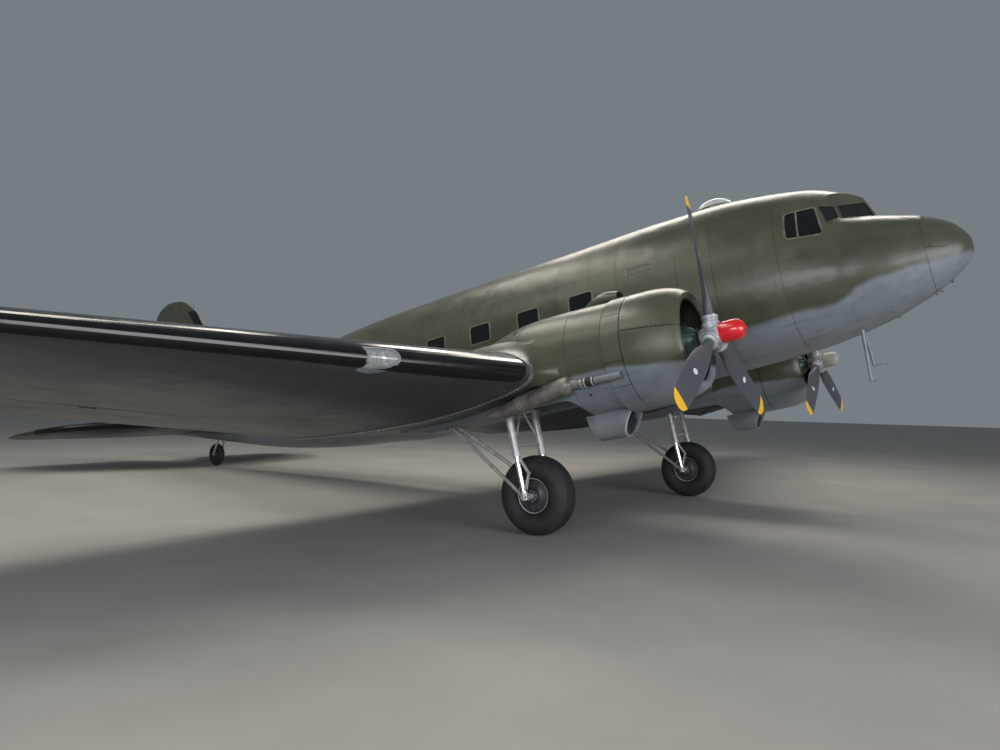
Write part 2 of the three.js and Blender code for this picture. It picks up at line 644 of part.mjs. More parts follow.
// Oil-cooler duct under the nacelle, with both ends cut on a rake
const DUCT = [
  [-1720, 178, 940, 585, 762], [-1600, 192, 955, 572, 765],
  [-1350, 205, 980, 565, 765], [-850, 190, 1010, 570, 765],
];
const ductBore = joined(
  barrel([[-1800, 165, 925, 600, 762], [-1480, 165, 925, 600, 762]], 0, -ENGINE_X, 20),
  barrel([[-1400, 165, 925, 600, 762], [-800, 165, 930, 600, 762]], 0, -ENGINE_X, 20),
);
const ductRake = [
  prism([[0, -1505, 594], [0, -1715, 995], [0, -2000, 995], [0, -2000, 300], [0, -1351, 300]], -4000, 4000),
  prism([[0, -1113, 585], [0, -962, 1045], [0, -700, 1045], [0, -700, 300], [0, -1206, 300]], -4000, 4000),
];
addPair('oil_cooler', cut(
  barrel(DUCT, 0, -ENGINE_X, 20), ductBore, ...ductRake, barrel(NACELLE, -GAP, -ENGINE_X), cowlRoom,
), GREY);

// Main gear: two oleo legs, their truss and two drag struts behind the tyre
const LEG = { half: 325, top: 1180, lean: 65, mid: 700, strutTop: [1250, 1135], strutHalf: 70 };
function gearBody() {
  const x = (offset) => -ENGINE_X + offset;
  const on = (offset, z) => [x(offset), (LEG.lean * z) / LEG.top, z];
  const reach = WELL.half - 0.5;
  const parts = [
    rod(on(-LEG.half - 40, 0), on(LEG.half + 40, 0), 42),
    rod([x(-reach), LEG.lean, LEG.top], [x(reach), LEG.lean, LEG.top], 46),
    rod(on(-LEG.half, LEG.mid), on(LEG.half, LEG.mid), 26, 26, 8),
    rod([x(-LEG.strutHalf - 60), ...LEG.strutTop], [x(LEG.strutHalf + 60), ...LEG.strutTop], 40, 40, 8),
  ];
  for (const side of [-1, 1]) {
    const offset = side * LEG.half;
    parts.push(
      rod(on(offset, 0), on(offset, 560), 38, 38, 8),
      rod(on(offset, 540), on(offset, LEG.top), 54, 54, 8),
      rod(on(offset, LEG.mid), on(side * 20, LEG.top), 20, 20, 6),
      rod([x(offset), 10, 0], [x(side * LEG.strutHalf), ...LEG.strutTop], 30, 30, 6),
    );
  }
  return cut(joined(...parts), wingGrown);
}
addPair('main_gear', gearBody(), STEEL);

// Wheels: radius and place along the axle
const TYRE = [[236, -120], [270, -185], [390, -208], [500, -155], [540, -45], [540, 45], [500, 155], [390, 208],
  [270, 185], [236, 120], [236, -120]];
const RIM = [[46, -160], [90, -160], [100, -110], [234, -115], [234, 115], [100, 110], [90, 160], [46, 160],
  [46, -160]];
for (const [side, sign] of [['right', -1], ['left', 1]]) {
  add(`main_tyre_${side}`, turned(TYRE, [0, 0, 0], 28, true), RUBBER, [sign * ENGINE_X, 0, 0]);
  add(`main_wheel_${side}`, turned(RIM, [0, 0, 0], 16, true), DARK, [sign * ENGINE_X, 0, 0]);
}

// Tail: fin and rudder upright, stabiliser and elevators level
const RUDDER = { hinge: 12560, low: 3300, high: 6560, gap: 8 };
const upright = (body) => {
  const geometry = geometryOf(body);
  geometry.rotateY(Math.PI / 2);
  return solid(geometry);
};
// Side view of fin and rudder: aft, height
const FIN_OUTLINE = [
  [9100, 3450], [9900, 3800], [10600, 4450], [11250, 5250], [11600, 5800], [11900, 6150], [12250, 6400],
  [12650, 6520], [13030, 6545], [13400, 6470], [13700, 6230], [13870, 5820], [13940, 5250], [TAIL, 4700],
  [13940, 4250], [13900, 3850], [13780, 3500], [13650, 3330], [12900, 3180], [12400, 3180], [11500, 3000],
  [10000, 2900], [9000, 3000],
];
const upOutline = (outline, half) => prism(outline.map(([y, z]) => [0, y, z]), -half, half);
const finBlank = common(
  upright(winged(
    [[-2900, 9000, 0, 4960, 0.062], [-4500, 10300, 0, 3650, 0.06], [-6600, 11700, 0, 2000, 0.055]], 0, 0, 0, 20,
  )),
  upOutline(FIN_OUTLINE, 400),
);
const rudderBar = (gap) => rod(
  [0, RUDDER.hinge, RUDDER.low - gap], [0, RUDDER.hinge, RUDDER.high + gap], 102 + gap, 66 + gap, 16,
);
const rudderTool = (gap) => joined(
  block([-400, RUDDER.hinge - gap, RUDDER.low - gap], [400, TAIL + 200, 7000]), rudderBar(gap),
);
const tailSkinGrown = barrel(HULL, -GAP);
const finLow = block([-400, 8500, 3050], [400, RUDDER.hinge, 7000]);
add('fin', cut(common(finBlank, finLow), rudderTool(RUDDER.gap), tailSkinGrown), OLIVE);
add('rudder', cut(common(finBlank, rudderTool(0)), barrel(HULL, -20)), OLIVE);

// Stabiliser. Rows: X, leading edge Y, Z, chord, thickness ratio
const STAB_Z = 2900;
const STAB_ROWS = [
  [-150, 10450, STAB_Z, 3150, 0.1], [-2600, 11170, STAB_Z, 2380, 0.09], [-3400, 11600, STAB_Z, 1930, 0.085],
  [-3850, 12100, STAB_Z, 1330, 0.08], [-4050, 12600, STAB_Z, 650, 0.07],
];
const ELEVATOR = { hinge: 12500, from: 330, to: 3900, gap: 8 };
const stabBlank = winged(STAB_ROWS, 0, 0, 0, 20);
const elevatorTool = (gap) => joined(
  block([-ELEVATOR.to - gap, ELEVATOR.hinge - gap, 2600], [-ELEVATOR.from + gap, TAIL, 3600]),
  rod(
    [-ELEVATOR.from + gap, ELEVATOR.hinge, STAB_Z], [-ELEVATOR.to - gap, ELEVATOR.hinge, STAB_Z],
    108 + gap, 76 + gap, 16,
  ),
);
const rudderRoom = prism(
  [[-300, 12400, 2500], [-300, 12600, 2500], [-1250, 13800, 2500], [100, 13900, 2500], [100, 12400, 2500]],
  -2000, 2000,
);
const stabHalf = cut(stabBlank, elevatorTool(ELEVATOR.gap));
const stabRear = (gap) => block([-700, 12400 + gap, 2500], [700, 14000, 3600]);
const stabHalfPort = solid(mirrored(geometryOf(stabHalf)));
const stabRoot = [160, ...STAB_ROWS[0].slice(1)];
const stabCarry = (grow) => winged([stabRoot, [-160, ...stabRoot.slice(1)]], grow, 0, 0, 20);
add('stabilizer', cut(joined(stabHalf, stabHalfPort, stabCarry(0)), stabRear(0)), GREY);
const stabGrown = winged([[-155, ...STAB_ROWS[0].slice(1)], ...STAB_ROWS.slice(1, 2)], GAP, 0, 0, 20);
const stabRoom = cut(joined(stabGrown, solid(mirrored(geometryOf(stabGrown))), stabCarry(GAP)), stabRear(GAP));
add('tail_shell', cut(slice(skin, JOINTS.tail, TAIL), stabRoom), OLIVE);
addPair('elevator', cut(common(stabBlank, elevatorTool(0)), rudderRoom), GREY);

// Doors, cut from the same skin. Edges: front, rear, with their gaps; hinges are at the record's axes.
const DOOR_GAP = 8;
const MEETING_GAP = 12;
const SWING_GAP = 22;
function doorLeaf(front, rear, { bottom, top }) {
  return common(skin, block([300, front, bottom + DOOR_GAP], [2000, rear, top - DOOR_GAP]));
}
add('crew_door', doorLeaf(CREW_DOOR.front + DOOR_GAP, CREW_DOOR.rear - SWING_GAP, CREW_DOOR), OLIVE);
add('cargo_door_front', doorLeaf(DOORWAY.front + DOOR_GAP, DOORWAY.middle - MEETING_GAP, DOORWAY), OLIVE);
add('cargo_door_rear', doorLeaf(DOORWAY.middle + MEETING_GAP, DOORWAY.rear - DOOR_GAP, DOORWAY), OLIVE);

// Tail wheel, placed by distance behind the main axle along the ground and height over the ground
const TAIL_WHEEL = { y: 11535, radius: 280, trail: 150, crown: 612, half: 72, arm: 102 };
function overGround(x, y, z) {
  const rise = z - AXLE_HEIGHT;
  return [x, y * Math.cos(GROUND_ANGLE) - rise * Math.sin(GROUND_ANGLE),
    y * Math.sin(GROUND_ANGLE) + rise * Math.cos(GROUND_ANGLE)];
}
const swivelY = TAIL_WHEEL.y - TAIL_WHEEL.trail;
const tailLeg = rod(overGround(0, swivelY, TAIL_WHEEL.crown), overGround(0, swivelY, 800), 75, 75, 16);
add('tail_gear_leg', cut(tailLeg, barrel(HULL, -GAP)), STEEL);
const forkParts = [
  rod(
    overGround(0, swivelY, TAIL_WHEEL.crown - 37), overGround(0, swivelY, TAIL_WHEEL.crown - GAP), 70, 70, 16,
  ),
  rod(overGround(-TAIL_WHEEL.arm, swivelY, 594), overGround(TAIL_WHEEL.arm, swivelY, 594), 17, 17, 8),
  rod(overGround(-TAIL_WHEEL.arm, TAIL_WHEEL.y, TAIL_WHEEL.radius),
    overGround(TAIL_WHEEL.arm, TAIL_WHEEL.y, TAIL_WHEEL.radius), 20, 20, 12),
];
for (const side of [-1, 1]) {
  const x = side * TAIL_WHEEL.arm;
  forkParts.push(rod(overGround(x, swivelY, 594), overGround(x, TAIL_WHEEL.y, TAIL_WHEEL.radius), 22, 22, 10));
}
add('tail_fork', joined(...forkParts), STEEL);
const TAIL_TYRE = [[120, -50], [150, -68], [225, -TAIL_WHEEL.half], [268, -45], [TAIL_WHEEL.radius, -12],
  [TAIL_WHEEL.radius, 12], [268, 45], [225, TAIL_WHEEL.half], [150, 68], [120, 50], [120, -50]];
const TAIL_RIM = [
  [24, -62], [50, -62], [60, -45], [118.5, -48], [118.5, 48], [60, 45], [50, 62], [24, 62], [24, -62],
];
const tailAxle = overGround(0, TAIL_WHEEL.y, TAIL_WHEEL.radius);
add('tail_tyre', turned(TAIL_TYRE, [0, 0, 0], 24, true), RUBBER, tailAxle);
add('tail_wheel', turned(TAIL_RIM, [0, 0, 0], 16, true), DARK, tailAxle);

export default plane;
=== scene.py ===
"""Dresses a military transport plane: skins, glass, engines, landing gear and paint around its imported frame.

Shapes are drawn level, in flight axes and millimetres: X to port, Y aft and Z up, from the middle of the
main-wheel axles. STANCE turns a finished mesh to the parked plane in metres.
"""
import logging
from dataclasses import dataclass
from enum import Enum
from functools import cached_property, partial
from math import ceil, copysign, cos, hypot, pi, radians, sin, sqrt, tan
from typing import Callable, Iterable, Sequence

import bmesh
import bpy
from mathutils import Matrix, Vector


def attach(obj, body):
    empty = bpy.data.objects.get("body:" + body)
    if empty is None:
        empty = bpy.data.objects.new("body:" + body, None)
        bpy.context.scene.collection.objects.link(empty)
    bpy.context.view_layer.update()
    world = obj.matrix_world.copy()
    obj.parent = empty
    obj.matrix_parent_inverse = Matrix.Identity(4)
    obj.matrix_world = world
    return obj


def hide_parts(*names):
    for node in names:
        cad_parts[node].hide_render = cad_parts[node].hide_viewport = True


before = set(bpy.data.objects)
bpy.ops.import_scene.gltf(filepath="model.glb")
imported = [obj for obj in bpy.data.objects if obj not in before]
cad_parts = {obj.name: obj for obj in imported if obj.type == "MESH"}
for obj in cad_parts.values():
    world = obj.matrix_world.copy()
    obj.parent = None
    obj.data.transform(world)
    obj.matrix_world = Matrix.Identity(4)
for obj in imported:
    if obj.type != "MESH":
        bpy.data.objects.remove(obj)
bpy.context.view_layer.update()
log = logging.getLogger("plane")

Point = Sequence[float]
Rows = Sequence[Sequence[float]]
Outline = Sequence[tuple[float, float]]
Socket = bpy.types.NodeSocket
Material = bpy.types.Material
Feeds = dict[str | int, object]
Outputs = bpy.types.bpy_prop_collection
Adder = Callable[..., Outputs]

LEAN = radians(11.64)
AXLE_Y = -4.899
AXLE_Z = 0.54
STANCE = (Matrix.Translation((0, AXLE_Y, AXLE_Z)) @ Matrix.Rotation(-LEAN, 4, "X") @ Matrix.Scale(0.001, 4))
ENGINE_X = 2820
THRUST_Z = 1574
JOINT_X = 3900
WALL = 40
TAU = 2 * pi
SHARP_OVER = radians(28)
SQUARENESS = 2.15


class Side(Enum):
    """Starboard and port, with the sign of X on each."""

    RIGHT = -1
    LEFT = 1

    @property
    def tag(self) -> str:
        """The end of a node's name on this side."""
        return self.name.lower()


SIDES = (Side.RIGHT, Side.LEFT)


# Shapes

def linked(name: str, data: bpy.types.ID) -> bpy.types.Object:
    """Makes an object and links it into the scene.

    Args:
        name: the object's name.
        data: its mesh, lamp or camera.

    Returns:
        The object.
    """
    item = bpy.data.objects.new(name, data)
    bpy.context.scene.collection.objects.link(item)
    return item


class Solid:
    """A closed shape in level millimetres that can be joined with, cut by or limited to others."""

    def __init__(self, form: bmesh.types.BMesh | bpy.types.Mesh) -> None:
        """Takes a mesh, or a bmesh that it uses up.

        Args:
            form: the closed shape.
        """
        if isinstance(form, bmesh.types.BMesh):
            mesh = bpy.data.meshes.new("shape")
            form.to_mesh(mesh)
            form.free()
            form = mesh
        self.mesh: bpy.types.Mesh = form

    def combined(self, other: "Solid", operation: str) -> "Solid":
        """Joins, cuts or limits this shape.

        Args:
            other: the second shape.
            operation: UNION, DIFFERENCE or INTERSECT.

        Returns:
            The new shape.
        """
        first, second = linked("first", self.mesh), linked("second", other.mesh)
        cut = first.modifiers.new("cut", "BOOLEAN")
        cut.object = second
        cut.operation = operation
        cut.solver = "MANIFOLD"
        graph = bpy.context.evaluated_depsgraph_get()
        made = bpy.data.meshes.new_from_object(first.evaluated_get(graph))
        bpy.data.objects.remove(first)
        bpy.data.objects.remove(second)
        return Solid(made)

    def __add__(self, other: "Solid") -> "Solid":
        """Joins another shape."""
        return self.combined(other, "UNION")

    def __sub__(self, other: "Solid") -> "Solid":
        """Cuts another shape away."""
        return self.combined(other, "DIFFERENCE")

    def __and__(self, other: "Solid") -> "Solid":
        """Keeps what lies in both shapes."""
        return self.combined(other, "INTERSECT")

    def moved(self, place: Matrix) -> "Solid":
        """Copies the shape to another place; a mirrored copy gets its faces turned outwards.

        Args:
            place: what turns, moves or mirrors it.

        Returns:
            The copy.
        """
        mesh = self.mesh.copy()
        mesh.transform(place)
        if place.to_3x3().determinant() < 0:
            mesh.flip_normals()
        return Solid(mesh)

    def on(self, side: Side) -> "Solid":
        """Returns a starboard shape as it is, or its mirror image for port."""
        return self if side is Side.RIGHT else self.moved(Matrix.Scale(-1, 4, (1, 0, 0)))

    def shifted(self, aft: float) -> "Solid":
        """Returns a copy moved aft."""
        return self.moved(Matrix.Translation((0, aft, 0)))


def total(shapes: Iterable[Solid]) -> Solid:
    """Joins shapes into one.

    Args:
        shapes: at least one shape.

    Returns:
        Their union.
    """
    shapes = list(shapes)
    result = shapes[0]
    for shape in shapes[1:]:
        result = result + shape
    return result


def gathered(shapes: Iterable[Solid]) -> Solid:
    """Puts shapes into one mesh as they are, where small ones only meet or sink into each other.

    Args:
        shapes: the shapes.

    Returns:
        One shape of several closed bodies.
    """
    form = bmesh.new()
    for shape in shapes:
        form.from_mesh(shape.mesh)
    return Solid(form)


def tube(sides: int, rows: Rows, place: Callable[[Sequence[float], float], Point]) -> Solid:
    """Wraps a grid into a closed form through rings of points.

    Args:
        sides: points round each ring.
        rows: one row of numbers for each ring.
        place: gives the point of a row at a part of the way round, from 0 to 1.

    Returns:
        The closed form, with a map of its own: round in U and along in V.
    """
    sheet = bmesh.new()
    sheet.loops.layers.uv.new("UVMap")
    steps = len(rows) - 1
    bmesh.ops.create_grid(sheet, x_segments=sides, y_segments=steps, size=0.5, calc_uvs=True)
    for vertex in sheet.verts:
        row = rows[round((vertex.co.y + 0.5) * steps)]
        step = round((vertex.co.x + 0.5) * sides) % sides
        vertex.co = place(row, step / sides)
    bmesh.ops.remove_doubles(sheet, verts=sheet.verts[:], dist=0.01)
    ends = [edge for edge in sheet.edges if edge.is_boundary]
    bmesh.ops.holes_fill(sheet, edges=ends, sides=0)
    bmesh.ops.recalc_face_normals(sheet, faces=sheet.faces[:])
    return Solid(sheet)


def eased(rows: Rows, step: float) -> list[list[float]]:
    """Adds rows between the given ones, on smooth curves through every column.

    Args:
        rows: rows in order of their first column.
        step: the largest distance between two rows.

    Returns:
        The finer rows.
    """
    slopes = []
    for i, row in enumerate(rows):
        before, after = rows[max(i - 1, 0)], rows[min(i + 1, len(rows) - 1)]
        reach = after[0] - before[0]
        slopes.append([(b - a) / reach for a, b in zip(before, after)])
    finer = []
    for i in range(len(rows) - 1):
        low, high = rows[i], rows[i + 1]
        reach = high[0] - low[0]
        count = max(1, ceil(reach / step))
        for k in range(count):
            t = k / count
            weights = (2 * t ** 3 - 3 * t ** 2 + 1, t ** 3 - 2 * t ** 2 + t, 3 * t ** 2 - 2 * t ** 3,
                t ** 3 - t ** 2)
            finer.append([
                weights[0] * a + weights[1] * reach * m + weights[2] * b + weights[3] * reach * n
                for a, b, m, n in zip(low, high, slopes[i], slopes[i + 1])
            ])
    finer.append(list(rows[-1]))
    return finer


def bent(value: float, exponent: float) -> float:
    """Raises a number to a power and keeps its sign."""
    return copysign(abs(value) ** exponent, value)


def barrel(rows: Rows, inset: float, centre: float = 0, sides: int = 96) -> Solid:
    """Makes a body of rounded sections along Y.

    Args:
        rows: aft, half breadth, top, bottom, height of the widest point, and the squareness of the upper
            half where it has its own: 2 for an ellipse, more for squarer shoulders.
        inset: how far the form lies inside the rows.
        centre: X of its middle.
        sides: points round it.

    Returns:
        The closed form.
    """
    def place(row: Sequence[float], part: float) -> Point:
        """Gives a point of a section."""
        y, half, top, bottom, middle = row[:5]
        angle = part * TAU
        upper = cos(angle) > 0
        curve = 2 / (row[5] if upper and len(row) > 5 else SQUARENESS)
        rise = (top - middle if upper else middle - bottom) - inset
        across = (half - inset) * bent(sin(angle), curve)
        return centre + across, y, middle + rise * bent(cos(angle), curve)
    return tube(sides, [row for row in rows if row[1] - inset > 4], place)


def block(low: Point, high: Point, bevel: float = 0) -> Solid:
    """Makes a box between two corners.

    Args:
        low: one corner.
        high: the opposite corner.
        bevel: width of its rounded edges.

    Returns:
        The box.
    """
    form = bmesh.new()
    bmesh.ops.create_cube(form, size=1)
    size = [abs(b - a) for a, b in zip(low, high)]
    bmesh.ops.scale(form, vec=size, verts=form.verts[:])
    bmesh.ops.translate(form, vec=[(a + b) / 2 for a, b in zip(low, high)], verts=form.verts[:])
    if bevel:
        bmesh.ops.bevel(form, geom=form.edges[:], offset=bevel, segments=2, affect="EDGES", profile=0.5,
            material=-1)
    return Solid(form)


def rod(start: Point, end: Point, radius: float, tip: float | None = None, sides: int = 24) -> Solid:
    """Makes a round bar.

    Args:
        start: middle of its first end.
        end: middle of its last end.
        radius: radius at the start.
        tip: radius at the end, the same where it isn't given.
        sides: points round it.

    Returns:
        The bar.
    """
    along = Vector(end) - Vector(start)
    turn = along.to_track_quat("Z", "Y").to_matrix().to_4x4()
    form = bmesh.new()
    bmesh.ops.create_cone(form, cap_ends=True, segments=sides, radius1=radius,
        radius2=radius if tip is None else tip, depth=along.length,
        matrix=Matrix.Translation((Vector(start) + Vector(end)) / 2) @ turn)
    return Solid(form)


def turned(profile: Sequence[Point], axis: str, sides: int, centre: Point = (0, 0, 0),
        closed: bool = False) -> Solid:
    """Spins a profile round an axis.

    Args:
        profile: radius and place on the axis of each point.
        axis: X, Y or Z.
        sides: steps of the spin.
        centre: where the axis runs.
        closed: True where the profile is a ring that doesn't meet the axis.

    Returns:
        The turned form.
    """
    form = bmesh.new()
    points = [form.verts.new((r, 0, along)) for r, along in profile]
    edges = [form.edges.new(pair) for pair in zip(points, points[1:])]
    if closed:
        edges.append(form.edges.new((points[-1], points[0])))
    bmesh.ops.spin(form, geom=points + edges, cent=(0, 0, 0), axis=(0, 0, 1), dvec=(0, 0, 0), angle=TAU,
        steps=sides, use_merge=True)
    bmesh.ops.remove_doubles(form, verts=form.verts[:], dist=0.01)
    bmesh.ops.recalc_face_normals(form, faces=form.faces[:])
    swings = {"X": Matrix.Rotation(pi / 2, 4, "Y"), "Y": Matrix.Rotation(-pi / 2, 4, "X"),
        "Z": Matrix.Identity(4)}
    bmesh.ops.transform(form, matrix=Matrix.Translation(centre) @ swings[axis], verts=form.verts[:])
    return Solid(form)


def prism(corners: Sequence[Point], inner: float, outer: float, bevel: float = 0) -> Solid:
    """Makes a prism on a flat outline, from one depth to another along the outline's normal.

    Args:
        corners: the outline's points in space.
        inner: the first depth.
        outer: the last depth.
        bevel: radius of the outline's corners.

    Returns:
        The prism.
    """
    form = bmesh.new()
    face = form.faces.new([form.verts.new(corner) for corner in corners])
    face.normal_update()
    normal = face.normal.copy()
    bmesh.ops.translate(form, vec=normal * inner, verts=form.verts[:])
    if bevel:
        bmesh.ops.bevel(form, geom=form.verts[:], offset=bevel, segments=5, affect="VERTICES", profile=0.5,
            material=-1)
    raised = bmesh.ops.extrude_face_region(form, geom=form.faces[:])
    tops = [item for item in raised["geom"] if isinstance(item, bmesh.types.BMVert)]
    bmesh.ops.translate(form, vec=normal * (outer - inner), verts=tops)
    bmesh.ops.recalc_face_normals(form, faces=form.faces[:])
    return Solid(form)


def pipe(path: Sequence[Point], sides: int, step: float) -> Solid:
    """Makes a round pipe that bends smoothly through points.

    Args:
        path: X, Y, Z and radius at each point.
        sides: points round it.
        step: the largest distance between two rings.

    Returns:
        The pipe.
    """
    lengths = [0.0]
    for a, b in zip(path, path[1:]):
        lengths.append(lengths[-1] + (Vector(b[:3]) - Vector(a[:3])).length)
    rows = eased([[s, *p] for s, p in zip(lengths, path)], step)
    rings = []
    for i, row in enumerate(rows):
        before, after = rows[max(i - 1, 0)], rows[min(i + 1, len(rows) - 1)]
        way = (Vector(after[1:4]) - Vector(before[1:4])).normalized()
        rings.append((Vector(row[1:4]), row[4], way.to_track_quat("Z", "Y").to_matrix()))
    bends = [rings[0][2]]
    for _, _, turn in rings[1:]:
        swing = bends[-1].col[2].rotation_difference(turn.col[2]).to_matrix()
        bends.append(swing @ bends[-1])
    table = [[i] for i in range(len(rings))]

    def place(row: Sequence[float], part: float) -> Point:
        """Gives a point of a ring."""
        middle, radius, _ = rings[row[0]]
        return middle + bends[row[0]] @ Vector((radius * cos(part * TAU), radius * sin(part * TAU), 0))
    return tube(sides, table, place)


def between(start: Point, end: Point, part: float) -> list[float]:
    """Gives the point a part of the way from one point to another."""
    return [a + (b - a) * part for a, b in zip(start, end)]


def around(radius: float, angle: float, y: float) -> tuple[float, float, float]:
    """Gives a point round an axis along Y, at an angle from straight up."""
    return radius * sin(angle), y, radius * cos(angle)


def turns(count: int, phase: float = 0) -> list[float]:
    """Lists the angles of even steps round a turn, moved on by a part of a step."""
    return [(step + phase) / count * TAU for step in range(count)]


# Wing sections

INCIDENCE = radians(2)
WING_EDGE_Y = -860
WING_EDGE_Z = 1500
ROOT_CHORD = 4320
SWEEP_SLOPE = tan(radians(15.5))
DIHEDRAL_SLOPE = tan(radians(5))
STRAIGHT = 9300
TIP = 14555 - JOINT_X


def camber(x: float) -> float:
    """Gives the height of the mean line at a part of the chord."""
    return 0.5 * (0.4 * x - x * x) if x < 0.2 else 0.03125 * (0.6 + 0.4 * x - x * x)


def half_thickness(x: float, t: float) -> float:
    """Gives half the thickness of a section at a part of the chord."""
    return 5 * t * (0.2969 * sqrt(x) - x * (0.126 + x * (0.3516 - x * (0.2843 - 0.1036 * x))))


def section_point(row: Sequence[float], along: float, side: float, grow: float = 0, turn: float = INCIDENCE,
        bend: float = 1) -> Point:
    """Gives a point of a wing section.

    Args:
        row: X, leading edge Y and Z, chord, thickness ratio.
        along: part of the chord.
        side: 1 for the top, -1 for the bottom, 0 for the mean line.
        grow: how far the point lies outside the section.
        turn: incidence.
        bend: 1 for a cambered section, 0 for an even one.

    Returns:
        The point.
    """
    x, y, z, chord, ratio = row
    along = min(max(along, 0.0), 1.0)
    thickness = half_thickness(along, ratio) * chord + (grow if along < 1 else 0)
    height = bend * camber(along) * chord + side * thickness
    aft = along * chord + (along - 0.5) * 2 * grow
    return (x, y + aft * cos(turn) + height * sin(turn), z - aft * sin(turn) + height * cos(turn))


def winged(rows: Rows, grow: float = 0, turn: float = INCIDENCE, bend: float = 1, sides: int = 72) -> Solid:
    """Makes a wing-like form through sections.

    Args:
        rows: sections from the root outboard, as section_point takes them.
        grow: how far the form lies outside them.
        turn: incidence.
        bend: 1 for cambered sections, 0 for even ones.
        sides: points round each section.

    Returns:
        The closed form.
    """
    def place(row: Sequence[float], part: float) -> Point:
        """Gives a point of a section."""
        angle = part * TAU
        along = (1 + sin(angle)) / 2
        side = 0 if abs(cos(angle)) < 1e-6 else copysign(1, cos(angle))
        return section_point(row, 1 if along > 1 - 1e-9 else along, side, grow, turn, bend)
    return tube(sides, rows, place)


def outward(s: float, edge: float, chord: float, ratio: float) -> list[float]:
    """Gives a wing row at a distance outboard of the joint, with its leading edge aft of the root's."""
    return [-(JOINT_X + s), WING_EDGE_Y + edge, WING_EDGE_Z + s * DIHEDRAL_SLOPE, chord, ratio]


def wing_row(s: float) -> list[float]:
    """Gives the straight outer wing's row at a distance outboard of the joint."""
    return outward(s, s * SWEEP_SLOPE, ROOT_CHORD - s * SWEEP_SLOPE, 0.16 - 0.07 * s / STRAIGHT)


CENTRE_WING = ([JOINT_X, WING_EDGE_Y, WING_EDGE_Z, ROOT_CHORD, 0.16],
    [-JOINT_X, WING_EDGE_Y, WING_EDGE_Z, ROOT_CHORD, 0.16])
TIP_STEPS = ((0, 0, 0, 0.09), (0.5, 270, 380, 0.085), (0.85, 620, 920, 0.08), (1.0, 1000, 1500, 0.08))


def outer_wing_rows() -> list[list[float]]:
    """Lists the outer wing's rows, straight first and then round the tip.

    Returns:
        The rows, from the joint outboard.
    """
    rows = [wing_row(s) for s in (0.3, STRAIGHT / 3, 2 * STRAIGHT / 3)]
    edge = STRAIGHT * SWEEP_SLOPE
    tips = [[STRAIGHT + part * (TIP - STRAIGHT), edge + aft, ROOT_CHORD - edge - less, ratio]
            for part, aft, less, ratio in TIP_STEPS]
    return rows + [outward(*row) for row in eased(tips, 160)]


def box_on_line(start: Point, end: Point, way: Point, length: float, low: float, high: float,
        end_gap: float, front: float) -> Solid:
    """Makes a box on a line, that runs from it along one way and between two heights.

    Args:
        start: the line's start.
        end: the line's end.
        way: the direction in which the box runs.
        length: how far it runs.
        low: its lowest height over the line.
        high: its greatest height over the line.
        end_gap: how far it runs past both ends.
        front: how far it starts before the line.

    Returns:
        The box.
    """
    first, last = Vector(start), Vector(end)
    along = (last - first).normalized()
    up = along.cross(Vector(way)).normalized()
    aft = up.cross(along)
    if up.z < 0:
        up = -up
    box = block((-end_gap, -front, low), ((last - first).length + end_gap, length, high))
    return box.moved(Matrix.Translation(first) @ Matrix((along, aft, up)).transposed().to_4x4())


# Finishes

def linear(code: str) -> tuple[float, float, float, float]:
    """Turns an sRGB hex value into the linear colour that a shader reads."""
    parts = [int(code[i:i + 2], 16) / 255 for i in (1, 3, 5)]
    return (*[p / 12.92 if p <= 0.04045 else ((p + 0.055) / 1.055) ** 2.4 for p in parts], 1.0)


def feed(node: bpy.types.Node, feeds: Feeds) -> None:
    """Sets a node's inputs to values, or links them to other nodes' outputs.

    Args:
        node: the node.
        feeds: a value or another node's output for each input.
    """
    for key, value in feeds.items():
        socket = node.inputs[key]
        if isinstance(value, bpy.types.NodeSocket):
            node.id_data.links.new(value, socket)
        else:
            socket.default_value = value


def add_node(tree: bpy.types.NodeTree, kind: str, feeds: Feeds | None = None, **settings: object) -> Outputs:
    """Adds one node with its settings and what its inputs hold or are fed by.

    Args:
        tree: the material's nodes.
        kind: the node's type, without the words that all types start with.
        feeds: a value or another node's output for each input.
        settings: the node's own properties.

    Returns:
        The node's outputs.
    """
    made = tree.nodes.new(f"ShaderNode{kind}")
    for name, value in settings.items():
        setattr(made, name, value)
    feed(made, feeds or {})
    return made.outputs


def started(name: str, **shader: object) -> tuple[Material, Adder, bpy.types.Node, Socket]:
    """Starts a material with its shader and its place in flight axes, in metres.

    Args:
        name: the material's name.
        shader: values set on the shader's own sockets, with underscores for spaces.

    Returns:
        The material, what adds a node to it, its shader, and the socket that gives the place.
    """
    material = bpy.data.materials.new(name)
    material.use_nodes = True
    add = partial(add_node, material.node_tree)
    surface = material.node_tree.nodes["Principled BSDF"]
    feed(surface, {key.replace("_", " "): value for key, value in shader.items()})
    back = (0, AXLE_Z * sin(LEAN) - AXLE_Y * cos(LEAN), -AXLE_Y * sin(LEAN) - AXLE_Z * cos(LEAN))
    place = add("TexCoord")["Object"]
    level = add("Mapping", {"Vector": place, "Rotation": (LEAN, 0, 0), "Location": back})
    return material, add, surface, level[0]


